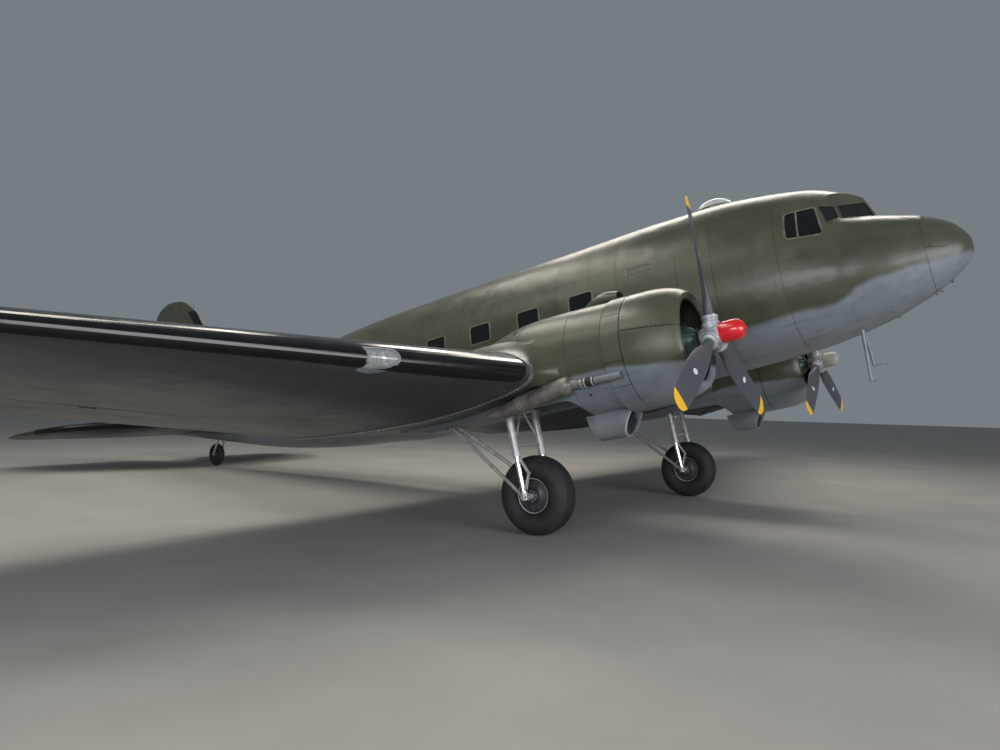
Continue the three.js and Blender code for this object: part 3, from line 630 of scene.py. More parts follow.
@dataclass(frozen=True)
class AircraftPaint:
    """Sprayed cellulose paint: satin olive over neutral grey, with a soft edge between them."""

    name: str
    line: tuple[tuple[float, float], ...] = ()
    line_blur: float = 0.05
    upper: str = "#393a2d"
    upper_worn: str = "#505140"
    lower: str = "#6a727a"
    lower_worn: str = "#7f878e"
    by_normal: bool = False
    panel: tuple[float, float] = (0.9, 0.42)
    flat_map: bool = False
    centre: tuple[float, float] = (0.0, 2.5)
    mean_radius: float = 1.15
    seams: float = 0.3
    joints: tuple[float, ...] = ()
    dents: float = 0.6

    def cover(self, add: Adder, place: Socket, y: Socket, z: Socket) -> Socket | float:
        """Tells where the upper colour lies, by the way that the skin faces or by its height over a line.

        Args:
            add: adds a node.
            place: the place in flight axes.
            y: its distance aft.
            z: its height.

        Returns:
            1 in the upper colour and 0 in the lower one.
        """
        if self.by_normal:
            normal = add("TexCoord")["Normal"]
            tilt = add("VectorMath", {0: normal, 1: (0, sin(LEAN), cos(LEAN))},
                operation="DOT_PRODUCT")["Value"]
            return add("MapRange", {"Value": tilt, "From Min": -0.04, "From Max": 0.04})[0]
        if not self.line:
            return 1.0
        height = self.line[0][1]
        for (y0, z0), (y1, z1) in zip(self.line, self.line[1:]):
            rise = add("MapRange", {
                "Value": y, "From Min": y0, "From Max": y1, "To Min": 0.0, "To Max": z1 - z0})[0]
            height = add("Math", {0: height, 1: rise}, operation="ADD")[0]
        above = add("Math", {0: z, 1: height}, operation="SUBTRACT")[0]
        sway = add("TexNoise", {"Vector": place, "Scale": 1.3, "Detail": 3.0})["Fac"]
        above = add("Math", {0: sway, 1: 0.14, 2: above}, operation="MULTIPLY_ADD")[0]
        return add("MapRange", {
            "Value": above, "From Min": 0.07 - self.line_blur, "From Max": 0.07 + self.line_blur},
            interpolation_type="SMOOTHSTEP")[0]

    def wrapped(self, add: Adder, x: Socket, z: Socket) -> Socket:
        """Gives the distance round a body in metres, or across a flat skin.

        Args:
            add: adds a node.
            x: the distance to port.
            z: the height.

        Returns:
            The distance.
        """
        if self.flat_map:
            return x
        across = add("Math", {0: x, 1: self.centre[0]}, operation="SUBTRACT")[0]
        up = add("Math", {0: z, 1: self.centre[1]}, operation="SUBTRACT")[0]
        turn = add("Math", {0: across, 1: up}, operation="ARCTAN2")[0]
        return add("Math", {0: turn, 1: self.mean_radius}, operation="MULTIPLY")[0]

    def rivets(self, add: Adder, y: Socket, way_round: Socket) -> Socket:
        """Makes rivet rows on frames and laps, 40 mm apart: coarser than the real 20 mm, so that they show.

        Args:
            add: adds a node.
            y: the distance aft.
            way_round: the distance round the body.

        Returns:
            1 on a rivet and 0 beside it.
        """
        rows = []
        for run, across, pitch in ((y, way_round, self.panel[1] / 2), (way_round, y, self.panel[0] / 2)):
            near = add("Math", {0: across, 1: pitch / 2}, operation="PINGPONG")[0]
            dots = add("Math", {0: run, 1: 0.02}, operation="PINGPONG")[0]
            spot = add("CombineXYZ", {"X": near, "Y": dots})[0]
            far = add("VectorMath", {0: spot}, operation="LENGTH")["Value"]
            rows.append(add("MapRange", {"Value": far, "From Min": 0.0065, "From Max": 0.004})[0])
        return add("Math", {0: rows[0], 1: rows[1]}, operation="MAXIMUM")[0]

    @cached_property
    def material(self) -> Material:
        """Builds the paint: colour by height, panel tints, seams and rivets, dents and worn gloss.

        Returns:
            The material.
        """
        material, add, surface, place = started(self.name, Metallic=0.0, IOR=1.5)
        x, y, z = add("SeparateXYZ", {0: place})
        over = self.cover(add, place, y, z)
        way_round = self.wrapped(add, x, z)

        # Faint lap seams in a staggered pattern, and the real joints at their own frames
        flat = add("CombineXYZ", {"X": y, "Y": way_round})[0]
        bricks = add("TexBrick", {
            "Vector": flat, "Color1": (0.2, 0.2, 0.2, 1), "Color2": (0.8, 0.8, 0.8, 1),
            "Mortar": (0.5, 0.5, 0.5, 1), "Scale": 1.0, "Mortar Size": 0.004, "Mortar Smooth": 0.3,
            "Brick Width": self.panel[0], "Row Height": self.panel[1]})
        seam = add("Math", {0: bricks["Fac"], 1: self.seams}, operation="MULTIPLY")[0]
        for joint in self.joints:
            line = add("Math", {0: y, 1: joint, 2: 0.004}, operation="COMPARE")[0]
            seam = add("Math", {0: seam, 1: line}, operation="MAXIMUM")[0]
        tint = add("SeparateColor", {0: bricks["Color"]})[0]

        # Fading in soft patches about a metre across, and grime drawn into streaks
        fade = add("TexNoise", {"Vector": place, "Scale": 0.9, "Detail": 6.0, "Roughness": 0.62})["Fac"]
        drawn = add("Mapping", {"Vector": place, "Scale": (5.0, 1.1, 5.0)})[0]
        streak = add("TexNoise", {"Vector": drawn, "Scale": 2.2, "Detail": 5.0})["Fac"]
        patch = add("Math", {0: tint, 1: 0.22, 2: fade}, operation="MULTIPLY_ADD")[0]
        worn = add("MapRange", {"Value": patch, "From Min": 0.36, "From Max": 0.92})[0]
        tones = []
        for fresh, faded in ((self.lower, self.lower_worn), (self.upper, self.upper_worn)):
            tones.append(add("Mix", {"Factor": worn, 6: linear(fresh), 7: linear(faded)},
                data_type="RGBA")[2])
        grime = add("MapRange", {"Value": streak, "From Min": 0.48, "From Max": 0.85, "To Max": 0.4})[0]
        lines = add("Math", {0: seam, 1: 0.7}, operation="MULTIPLY")[0]
        base = tones[0]
        for part, colour in ((over, tones[1]), (grime, linear("#33322a")), (lines, linear("#1f1f1a"))):
            base = add("Mix", {"Factor": part, 6: base, 7: colour}, data_type="RGBA")[2]
        gloss = add("MapRange", {
            "Value": fade, "From Min": 0.3, "From Max": 0.75, "To Min": 0.27, "To Max": 0.44})[0]

        # Oil-canned sheet: shallow dents about 0.3 m across, with the seams and rivets over them
        dents = add("TexNoise", {"Vector": place, "Scale": 3.0, "Detail": 1.5})["Fac"]
        swell = add("Bump", {"Strength": self.dents, "Distance": 0.02, "Height": dents})[0]
        relief = add("Math", {0: seam, 1: -1.5, 2: self.rivets(add, y, way_round)},
            operation="MULTIPLY_ADD")[0]
        fine = add("Bump", {"Strength": 0.5, "Distance": 0.0025, "Height": relief, "Normal": swell})[0]
        feed(surface, {"Base Color": base, "Roughness": gloss, "Normal": fine})
        return material


@dataclass(frozen=True)
class Coated:
    """A plain coated or moulded surface: paint, rubber or metal with a fine grain and some wear."""

    name: str
    colour: str
    worn: str
    roughness: tuple[float, float] = (0.4, 0.55)
    metallic: float = 0.0
    scale: float = 6.0
    grain: float = 60.0
    relief: float = 0.0004
    coat: float = 0.0
    ior: float = 1.5

    @cached_property
    def material(self) -> Material:
        """Builds the finish: two tones that drift, a change in gloss and a fine grain.

        Returns:
            The material.
        """
        material, add, surface, place = started(self.name, Metallic=self.metallic, IOR=self.ior,
            Coat_Weight=self.coat, Coat_Roughness=0.12)
        drift = add("TexNoise", {
            "Vector": place, "Scale": self.scale, "Detail": 6.0, "Roughness": 0.6})["Fac"]
        part = add("MapRange", {"Value": drift, "From Min": 0.35, "From Max": 0.72})[0]
        colour = add("Mix", {"Factor": part, 6: linear(self.colour), 7: linear(self.worn)},
            data_type="RGBA")[2]
        gloss = add("MapRange", {
            "Value": drift, "From Min": 0.3, "From Max": 0.7, "To Min": self.roughness[0],
            "To Max": self.roughness[1]})[0]
        grain = add("TexNoise", {"Vector": place, "Scale": self.grain, "Detail": 3.0})["Fac"]
        bump = add("Bump", {"Strength": 0.6, "Distance": self.relief, "Height": grain})[0]
        feed(surface, {"Base Color": colour, "Roughness": gloss, "Normal": bump})
        return material


@dataclass(frozen=True)
class Glass:
    """Acrylic sheet: clear, a little grey, with faint scratches and haze."""

    name: str
    tint: str
    haze: tuple[float, float] = (0.02, 0.12)
    transmission: float = 0.92
    clear: str = "#dfe5e5"

    @cached_property
    def material(self) -> Material:
        """Builds the glazing.

        Returns:
            The material.
        """
        material, add, surface, place = started(self.name, Metallic=0.0, IOR=1.49,
            Transmission_Weight=self.transmission)
        drift = add("TexNoise", {"Vector": place, "Scale": 7.0, "Detail": 5.0})["Fac"]
        rough = add("MapRange", {"Value": drift, "From Min": 0.4, "From Max": 0.75, "To Min": self.haze[0],
            "To Max": self.haze[1]})[0]
        colour = add("Mix", {"Factor": drift, 6: linear(self.tint), 7: linear(self.clear)},
            data_type="RGBA")[2]
        feed(surface, {"Base Color": colour, "Roughness": rough})
        return material


@dataclass(frozen=True)
class BladePaint:
    """Blade lacquer: satin blue-black, yellow at the tip, with a bare pale oval halfway along the front."""

    name: str
    tip_from: float = 1.6
    oval_at: float = 1.0
    oval_reach: float = 0.046
    oval_narrow: float = 4.2

    @cached_property
    def material(self) -> Material:
        """Builds the blade's finish by the distance from the hub, and round the blade by its own map.

        Returns:
            The material.
        """
        material, add, surface, place = started(self.name, Metallic=0.0, IOR=1.5)
        x, _, z = add("SeparateXYZ", {0: place})
        aside = add("Math", {0: x}, operation="ABSOLUTE")[0]
        aside = add("Math", {0: aside, 1: ENGINE_X / 1000}, operation="SUBTRACT")[0]
        up = add("Math", {0: z, 1: THRUST_Z / 1000}, operation="SUBTRACT")[0]
        flat = add("CombineXYZ", {"X": aside, "Y": up})[0]
        radius = add("VectorMath", {0: flat}, operation="LENGTH")["Value"]
        drift = add("TexNoise", {"Vector": place, "Scale": 9.0, "Detail": 7.0, "Roughness": 0.65})["Fac"]

        # The oval lies on the blade's front, where the map's way round faces forward
        turn = add("SeparateXYZ", {0: add("UVMap", uv_map="UVMap")[0]})["X"]
        turn = add("Math", {0: turn, 1: TAU}, operation="MULTIPLY")[0]
        across = add("Math", {0: turn}, operation="SINE")[0]
        across = add("Math", {0: across, 1: self.oval_narrow}, operation="MULTIPLY")[0]
        along = add("Math", {0: radius, 1: 1 / self.oval_reach, 2: -self.oval_at / self.oval_reach},
            operation="MULTIPLY_ADD")[0]
        spot = add("CombineXYZ", {"X": across, "Y": along})[0]
        far = add("VectorMath", {0: spot}, operation="LENGTH")["Value"]
        near = add("Math", {0: far, 1: 1.0}, operation="LESS_THAN")[0]
        facing = add("Math", {0: turn}, operation="COSINE")[0]
        front = add("Math", {0: facing, 1: 0.0}, operation="LESS_THAN")[0]
        oval = add("Math", {0: near, 1: front}, operation="MULTIPLY")[0]
        tip = add("Math", {0: radius, 1: self.tip_from}, operation="GREATER_THAN")[0]
        colour = linear("#34363d")
        for part, tone in ((drift, "#54575f"), (tip, "#f2b824"), (oval, "#d5d8dc")):
            colour = add("Mix", {"Factor": part, 6: colour, 7: linear(tone)}, data_type="RGBA")[2]
        gloss = add("MapRange", {
            "Value": drift, "From Min": 0.3, "From Max": 0.7, "To Min": 0.34, "To Max": 0.5})[0]
        bump = add("Bump", {"Strength": 0.3, "Distance": 0.0008, "Height": drift})[0]
        feed(surface, {"Base Color": colour, "Roughness": gloss, "Normal": bump})
        return material


Finish = AircraftPaint | Coated | Glass | BladePaint
HULL_LINE = ((-5.45, 2.30), (-5.31, 2.258), (-5.13, 2.241), (-4.88, 2.227), (-4.52, 2.125), (-4.29, 2.095),
    (-4.1, 2.042), (-3.85, 1.93), (-3.48, 1.924), (-2.9, 1.86), (-1.0, 1.80), (4.0, 1.78), (9.0, 2.25),
    (13.5, 2.95))
NACELLE_LINE = ((-2.58, 1.285), (-2.5, 1.296), (-2.25, 1.315), (-2.0, 1.344), (-1.84, 1.362), (-1.45, 1.395),
    (-1.22, 1.385), (-0.9, 1.33), (-0.5, 1.27), (0.4, 1.21), (2.3, 1.21))
HULL_JOINTS = (-4.96, -3.29, -2.42, -1.9, -0.95, -0.45, 0.118, 1.12, 2.12, 3.1, 4.1, 5.1, 6.1, 7.1, 8.1, 9.3,
    10.5, 11.6)


class Finishes:
    """Every finish on the plane; each makes its material once, when it is first used."""

    def __init__(self) -> None:
        """Lists the finishes."""
        # Sprayed cellulose paint: satin skins that fade in patches and dull towards the grey
        self.hull = AircraftPaint("olive_and_grey_hull_paint", line=HULL_LINE, panel=(1.6, 0.52),
            joints=HULL_JOINTS)
        self.nacelle = {side: AircraftPaint(f"nacelle_paint_{side.tag}", line=NACELLE_LINE, panel=(9.0, 9.0),
            centre=(side.value * ENGINE_X / 1000, THRUST_Z / 1000), line_blur=0.03, dents=0.35)
            for side in SIDES}
        # The grey underside here is much darker than the hull's grey: painted shade under the wings and
        # stabiliser
        self.wing = AircraftPaint("wing_skin_paint", by_normal=True, flat_map=True, panel=(0.62, 1.9),
            lower="#34373b", lower_worn="#3f4246")
        self.fin = AircraftPaint("fin_skin_paint", flat_map=True, panel=(0.6, 9.0))
        # Doped linen: the same paint with close ribs and a browner underside
        self.fabric = AircraftPaint("doped_fabric_paint", by_normal=True, flat_map=True, panel=(5.0, 0.3),
            lower="#4b4942", lower_worn="#59564c")
        # Vulcanised rubber, polished on the boots with narrow highlights, and dull and dusty on the tyres
        self.rubber_boot = Coated("vulcanised_rubber_boot", "#08080a", "#101012", (0.13, 0.22), grain=25,
            relief=0.0002)
        self.tyre = Coated("tyre_rubber", "#161618", "#2a2a2b", (0.62, 0.8), scale=9, grain=160,
            relief=0.001)
        # Acrylic sheet: near black from outside through a dark grey tint that paints the shade of the dim
        # cabin behind, milky on the roof dome, clear on the lamps
        self.glass = Glass("acrylic_glazing", "#20272c", clear="#4a5459")
        self.dome = Glass("milky_acrylic_dome", "#b9bcb6", (0.3, 0.5), 0.35)
        self.lens = Glass("ribbed_lamp_lens", "#eef4f2", (0.02, 0.06), 0.8, "#f4f8f6")
        # Brushed primer and leather inside: dull green walls and a soft brown grain
        self.interior = Coated("zinc_chromate_interior_paint", "#56604a", "#6b7358", (0.5, 0.7), scale=3)
        self.seat = Coated("brown_seat_leather", "#3a2a20", "#56402f", (0.45, 0.6), scale=8, grain=240,
            relief=0.0012)
        self.panel = Coated("crackle_black_panel", "#151617", "#26282a", (0.5, 0.65), grain=400)
        # Brushed enamels: frames rubbed pale, and a matt black that paints the shade in slots, holes and gaps,
        # also on a few small fittings and joints
        self.frame = Coated("worn_frame_paint", "#4a4b40", "#77776a", (0.4, 0.55), scale=12)
        self.dark = Coated("shadow_black_paint", "#0b0b0c", "#161617", (0.6, 0.8))
        self.duct = Coated("grey_duct_paint", "#676c72", "#7f858a", (0.38, 0.5), scale=3)
        # Rolled aluminium, unpainted: a bright line along the wing joints
        self.bare = Coated("bare_aluminium_strip", "#9b9fa3", "#c3c6c8", (0.28, 0.42), metallic=1.0,
            scale=14)
        # Plated and chromed steel: pale satin legs round mirror-bright pistons
        self.steel = Coated("cadmium_plated_gear_steel", "#9c9b9c", "#c6c4c4", (0.3, 0.45), metallic=0.35,
            scale=9)
        self.chrome = Coated("chromed_oleo_piston", "#c9ccd0", "#e2e4e6", (0.08, 0.16), metallic=1.0)
        # Sheet steel burnt by the exhaust: brown-grey with pale scale
        self.exhaust = Coated("heat_stained_exhaust_steel", "#5a5653", "#918b85", (0.32, 0.5), metallic=0.45,
            scale=4)
        # Cast metal and enamel on the engine: oily dark fins behind a green gear case
        self.engine = Coated("cast_engine_metal", "#16181a", "#3a3d40", (0.4, 0.6), metallic=0.5, scale=14)
        self.gear_case = Coated("green_gear_case_enamel", "#16302a", "#2a4c44", (0.35, 0.5), scale=14,
            coat=0.15)
        self.core = Coated("cooler_core_brass", "#33383d", "#4a5056", (0.45, 0.6), metallic=0.6, grain=220,
            relief=0.002)
        self.hose = Coated("black_hose_rubber", "#111112", "#222223", (0.5, 0.7))
        # Lacquers on the propeller: silver hub, glossy red or chalky pale dome
        self.hub = Coated("silver_hub_lacquer", "#8f9398", "#b5b8bc", (0.35, 0.5), metallic=0.3, scale=12)
        self.red = Coated("signal_red_dome_enamel", "#c4121c", "#d81f2a", (0.15, 0.25), coat=0.5, scale=4)
        self.pale = Coated("weathered_grey_dome_paint", "#8f8f88", "#b0aea4", (0.35, 0.5), scale=8)
        self.blade = BladePaint("blade_lacquer")
        # Stoved enamel on the wheels: dark discs with pale rims
        self.wheel = Coated("wheel_enamel", "#2a2c2e", "#45484a", (0.35, 0.5), scale=12)
        self.rim = Coated("pale_rim_paint", "#8f9396", "#b5b8b9", (0.35, 0.5), scale=12)


def placed(name: str, shape: Solid, finish: Finish, slot: str, node: str = "",
        body: str = "airframe") -> None:
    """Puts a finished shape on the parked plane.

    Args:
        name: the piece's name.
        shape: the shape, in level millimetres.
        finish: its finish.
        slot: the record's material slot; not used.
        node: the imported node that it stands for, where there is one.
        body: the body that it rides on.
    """
    mesh = shape.mesh.copy()
    mesh.transform(STANCE)
    mesh.polygons.foreach_set("use_smooth", [True] * len(mesh.polygons))
    mesh.set_sharp_from_angle(angle=SHARP_OVER)
    mesh.materials.clear()
    mesh.materials.append(finish.material)
    mesh.name = name
    piece = linked(name, mesh)
    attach(piece, body)
    if node:
        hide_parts(node)
    log.info("%s: %d faces", name, len(mesh.polygons))


def on_side(side: Side, name: str, shape: Solid, finish: Finish, slot: str, node: str = "",
        body: str = "") -> None:
    """Places a shape that is drawn to starboard on one side.

    Args:
        side: the side.
        name: the piece's name without its side.
        shape: the starboard shape.
        finish: its finish.
        slot: the record's material slot.
        node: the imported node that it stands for, without its side, where there is one.
        body: the body that it rides on, without its side, or nothing for the airframe.
    """
    placed(f"{name}_{side.tag}", shape.on(side), finish, slot, f"{node}_{side.tag}" if node else "",
        f"{body}_{side.tag}" if body else "airframe")


def on_both(*piece: object) -> None:
    """Places a starboard shape on both sides, from what on_side takes after the side."""
    for side in SIDES:
        on_side(side, *piece)


def carried(node: str, finish: Finish) -> None:
    """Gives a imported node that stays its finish.

    Args:
        node: the node's name.
        finish: its finish.
    """
    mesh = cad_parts[node].data
    mesh.materials.clear()
    mesh.materials.append(finish.material)


# Fuselage

HULL = ((-5475, 34, 2434, 2366, 2400, 2.15), (-5471, 90, 2490, 2312, 2400, 2.15),
    (-5440, 165, 2560, 2255, 2400, 2.15), (-5400, 232, 2625, 2200, 2400, 2.15),
    (-5360, 290, 2680, 2160, 2400, 2.15), (-5300, 352, 2745, 2105, 2400, 2.15),
    (-5230, 410, 2800, 2050, 2400, 2.15), (-5100, 505, 2880, 1970, 2400, 2.15),
    (-4980, 580, 2945, 1900, 2400, 2.15), (-4480, 830, 3100, 1700, 2410, 2.25),
    (-4300, 893, 3137, 1650, 2417, 2.4), (-4100, 955, 3175, 1600, 2426, 2.8),
    (-3944, 1000, 3212, 1562, 2432, 3.5), (-3480, 1095, 3400, 1480, 2460, 3.6),
    (-3200, 1138, 3568, 1452, 2482, 2.9), (-2980, 1170, 3700, 1430, 2500, 2.3),
    (-2480, 1210, 3930, 1400, 2540, 2.15), (-1480, 1245, 4000, 1340, 2570, 2.15),
    (-480, 1250, 4000, 1300, 2570, 2.15), (1770, 1250, 4000, 1312, 2570, 2.15),
    (4020, 1250, 4000, 1330, 2570, 2.15), (5020, 1240, 3970, 1420, 2580, 2.15),
    (6520, 1150, 3870, 1540, 2640, 2.15), (8520, 850, 3700, 1830, 2740, 2.15),
    (10520, 520, 3450, 2270, 2840, 2.15), (12020, 280, 3270, 2620, 2940, 2.15),
    (13120, 100, 3110, 2870, 2990, 2.15))
CAB = (
    (-4700, 740, 3250, 1800, 2400), (-4400, 870, 3420, 1700, 2410), (-4120, 950, 3570, 1600, 2420),
    (-3810, 1040, 3720, 1550, 2440), (-3480, 1100, 3810, 1500, 2460), (-2980, 1170, 3900, 1450, 2500),
    (-2480, 1205, 3965, 1420, 2540), (-1980, 1220, 3990, 1400, 2560),
)
SCREEN = {
    "base": (0, -4490, 3110), "roof": (0, -4390, 3390), "post": (-640, -4084, 3055),
    "post_top": (-555, -4040, 3306), "quarter": (-900, -3938, 2992), "quarter_top": (-825, -3860, 3300),
}
DECK_WINDOW = ((-3885, 2862), (-3445, 2905), (-3445, 3282), (-3826, 3288))
REACH = 3000


def rectangle(y: float, z: float, width: float, height: float) -> Outline:
    """Lists the corners of a window in side view."""
    return [(y - width / 2, z - height / 2), (y + width / 2, z - height / 2),
            (y + width / 2, z + height / 2), (y - width / 2, z + height / 2)]


@dataclass
class Fuselage:
    """The shells, glass, doors and inside of the fuselage."""

    finishes: Finishes
    cap: float = -4980
    deck: float = -2900
    tail: float = 8520
    lining: float = 22
    window_first: float = -310
    window_pitch: float = 1000
    dome_y: float = -2300
    dome_z: float = 3940
    dome_radius: float = 300

    def __post_init__(self) -> None:
        """Starts the store of hull forms by their depth."""
        self.cache: dict[float, Solid] = {}

    def hull(self, inset: float) -> Solid:
        """Makes the fuselage's closed form at a depth under its skin.

        Args:
            inset: the depth, below zero for outside.

        Returns:
            The form, nose to tail, with the flight deck's roof and windscreen on it.
        """
        if inset not in self.cache:
            roof = barrel(eased(CAB, 110), inset)
            for cutter in self.screen_cuts(inset):
                roof = roof - cutter
            self.cache[inset] = barrel(eased(HULL, 110), inset) + roof
        return self.cache[inset]

    def screen_cuts(self, inset: float) -> list[Solid]:
        """Makes the blocks in front of the windscreen's panes.

        Args:
            inset: how far they are moved in.

        Returns:
            One block for each pane.
        """
        cuts = []
        for side in (1, -1):
            for names in (("base", "roof", "post"), ("post", "post_top", "quarter")):
                a, b, c = (Vector((side * SCREEN[n][0], SCREEN[n][1], SCREEN[n][2])) for n in names)
                normal = (b - a).cross(c - a).normalized()
                if normal.y > 0:
                    normal = -normal
                turn = normal.to_track_quat("Z", "Y").to_matrix().to_4x4()
                box = block((-REACH / 2, -REACH / 2, -inset), (REACH / 2, REACH / 2, REACH - inset))
                cuts.append(box.moved(Matrix.Translation(a) @ turn))
        return cuts

    def side_prism(self, corners: Outline, side: Side, grow: float = 0, round_by: float = 0) -> Solid:
        """Makes a prism through one side wall on a window's outline.

        Args:
            corners: the outline in side view.
            side: the wall.
            grow: how far the outline is moved out.
            round_by: radius of its corners.

        Returns:
            The prism.
        """
        middle = between(corners[0], corners[2], 0.5)
        points = []
        for y, z in corners:
            reach = 1 + grow * 1.4 / hypot(y - middle[0], z - middle[1])
            points.append((side.value * 900, middle[0] + (y - middle[0]) * reach,
                middle[1] + (z - middle[1]) * reach))
        return prism(points, -600, 600, round_by)

    def windows(self, side: Side) -> list[Outline]:
        """Lists the cabin windows' outlines on one side."""
        count = 7 if side is Side.RIGHT else 6
        return [rectangle(self.window_first + i * self.window_pitch, 2820, 410, 310) for i in range(count)]

    def openings(self, grow: float = 0) -> Solid:
        """Makes every side window's prism, to cut the walls with.

        Args:
            grow: how far each outline is moved out.

        Returns:
            The prisms.
        """
        prisms = []
        for side in SIDES:
            for corners in self.windows(side):
                prisms.append(self.side_prism(corners, side, grow, 45 + grow))
            prisms.append(self.side_prism(rectangle(-1330, 3090, 380, 90), side, grow, 12))
            prisms.append(self.side_prism(DECK_WINDOW, side, grow, 40 + grow))
        return gathered(prisms)

    def panes(self, grow: float = 0) -> Solid:
        """Makes the windscreen panes' prisms.

        Args:
            grow: how far each outline is moved out.

        Returns:
            The prisms.
        """
        across, up = grow / 600, grow / 280
        prisms = []
        faces = (("base", "roof", "post", "post_top"), ("post", "post_top", "quarter", "quarter_top"))
        for low, high, low_end, high_end in faces:
            def at(u: float, v: float) -> list[float]:
                """Gives a point across and up the face."""
                return between(between(SCREEN[low], SCREEN[low_end], u),
                    between(SCREEN[high], SCREEN[high_end], u), v)
            corners = [at(0.07 - across, 0.1 - up), at(0.07 - across, 0.94 + up),
                at(0.92 + across, 0.94 + up), at(0.92 + across, 0.1 - up)]
            for side in SIDES:
                prisms.append(prism([(-side.value * x, y, z) for x, y, z in corners], -150, 150, 26 + grow))
        return gathered(prisms)

    def doorway(self, front: float, rear: float, bottom: float, top: float) -> Solid:
        """Makes a block through the port wall, between two stations and two heights."""
        return block((300, front, bottom), (2000, rear, top))

    def build(self) -> None:
        """Builds and dresses every piece of the fuselage."""
        holes = self.openings()
        screens = self.panes()
        dome_hole = rod((0, self.dome_y, 3500), (0, self.dome_y, 4400), self.dome_radius, sides=48)
        wing = winged(CENTRE_WING, 0.3)
        doors = (self.doorway(5750, 7900, 1975, 3290), self.doorway(-2700, -2060, 1985, 3080))
        outer = self.hull(0) - self.hull(self.lining)
        inner = self.hull(self.lining) - self.hull(WALL)
        tail_room = self.stabiliser_room()
        for layer, skin, finish, slot in (("skin", outer, self.finishes.hull, "olive_paint"),
                ("lining", inner, self.finishes.interior, "interior_paint")):
            open_skin = skin - holes - screens - dome_hole - wing
            for door in doors:
                open_skin = open_skin - door
            spans = {"nose_cap": (-5600, self.cap - 0.3), "flight_deck_shell": (self.cap, self.deck - 0.3),
                "cabin_shell": (self.deck, self.tail - 0.3), "tail_shell": (self.tail, 13950)}
            for node, (front, rear) in spans.items():
                part = open_skin & block((-3000, front, -1000), (3000, rear, 9000))
                if node == "tail_shell":
                    part = part - tail_room
                if node == "flight_deck_shell" and layer == "skin":
                    part = part + self.masts()
                placed(f"{node}_{layer}", part, finish, slot, node if layer == "skin" else "")
        self.build_glass(holes, screens)
        self.build_frames()
        self.build_nose_fittings()
        self.build_doors(outer, inner)

    def stabiliser_room(self) -> Solid:
        """Makes the slot that the stabiliser fills in the tail shell.

        Returns:
            The slot's form.
        """
        root = [160, *STAB_ROWS[0][1:]]
        grown = winged([[-155, *STAB_ROWS[0][1:]], *STAB_ROWS[1:2]], 0.3, 0, 0)
        carry = winged([root, [-160, *root[1:]]], 0.3, 0, 0)
        return (grown + grown.on(Side.LEFT) + carry) - block((-700, 12400.3, 2500), (700, 14000, 3600))

    def masts(self) -> Solid:
        """Makes the two pitot masts under the flight deck.

        Returns:
            Both masts.
        """
        parts = []
        for x, lead, top, bottom, reach in ((-300, 50, 1510, 860, 30), (300, 0, 1510, 1110, 130)):
            parts.append(rod((x, -3960 - lead, top + 60), (x, -3980, bottom), 26, 20))
            parts.append(pipe([(x, -3960, bottom + 6, 13), (x, -3990, bottom, 13),
                (x, -4040 - reach, bottom, 11)], 14, 20))
        return total(parts) - self.hull(10)

    def build_glass(self, holes: Solid, screens: Solid) -> None:
        """Builds the panes as thin sheets that follow the skin.

        Args:
            holes: the side windows' prisms.
            screens: the windscreen panes' prisms.
        """
        sheet = self.hull(9) - self.hull(15)
        half = {side: block((side.value * 300, -6000, 0), (side.value * 2000, 14000, 6000))
            for side in SIDES}
        rear = block((-3000, -1900, 0), (3000, 9000, 6000))
        front = block((-3000, -6000, 0), (3000, -2900, 6000))
        glass = sheet & holes
        for side in SIDES:
            placed(f"cabin_panes_{side.tag}", glass & half[side] & rear, self.finishes.glass, "glazing",
                f"cabin_glazing_{side.tag}")
            vent = self.side_prism(rectangle(-1330, 3090, 379, 89), side, 0, 12)
            placed(f"side_vent_plate_{side.tag}", (self.hull(1.5) - self.hull(8)) & vent & half[side],
                self.finishes.hull, "olive_paint")
        panes = (glass & front) + (sheet & screens & front)
        placed("flight_deck_panes", panes, self.finishes.glass, "glazing", "flight_deck_glazing")
        wide = self.dome_radius - 2
        arc = [(max(wide * cos(a), 0), 204 * sin(a)) for a in turns(64)[:17]]
        shell = [(wide, -50), *arc]
        hollow = [(max(r - 8, 0), z - (8 if r < 250 else 4)) for r, z in reversed(shell)]
        centre = (0, self.dome_y, self.dome_z)
        placed("astrodome_shell", turned([*shell, *hollow], "Z", 64, centre, closed=True),
            self.finishes.dome, "glazing", "astrodome")
        ring = turned([(282, 10), (318, 4), (322, 34), (300, 40), (290, 36)], "Z", 64, centre, closed=True)
        placed("astrodome_ring", ring, self.finishes.frame, "olive_paint")

    def build_nose_fittings(self) -> None:
        """Builds the slots on the nose cap's sides as black patches of painted shade, and the latches under
        it.
        """
        slots = []
        for sign in (-1, 1):
            slots.append(rod((sign * 583, -4974, 2402), (sign * 445, -5174, 2379), 8, sides=12))
            slots.append(rod((sign * 560, -5027, 2421), (sign * 520, -5027, 2421), 13, sides=16))
        # Thin black patches flush in the skin: painted shade in the slots
        cover = (self.hull(-1.5) - self.hull(3)) & gathered([total(slots[:2]), total(slots[2:])])
        placed("nose_slots", cover, self.finishes.dark, "olive_paint")
        latches = []
        for x, y, z in ((-129, -4992, 1922), (-114, -4930, 1893), (-43, -5135, 1998), (-319, -4415, 1729)):
            for sign in (-1, 1):
                foot = Vector((sign * x, y, z + 12))
                latches.append(rod(foot, foot + Vector((0, -12, -44)), 9, 7, 12))
                latches.append(rod(foot + Vector((0, -10, -28)), foot + Vector((0, -34, -34)), 6, sides=10))
        placed("nose_latches", gathered(latches), self.finishes.frame, "grey_paint")

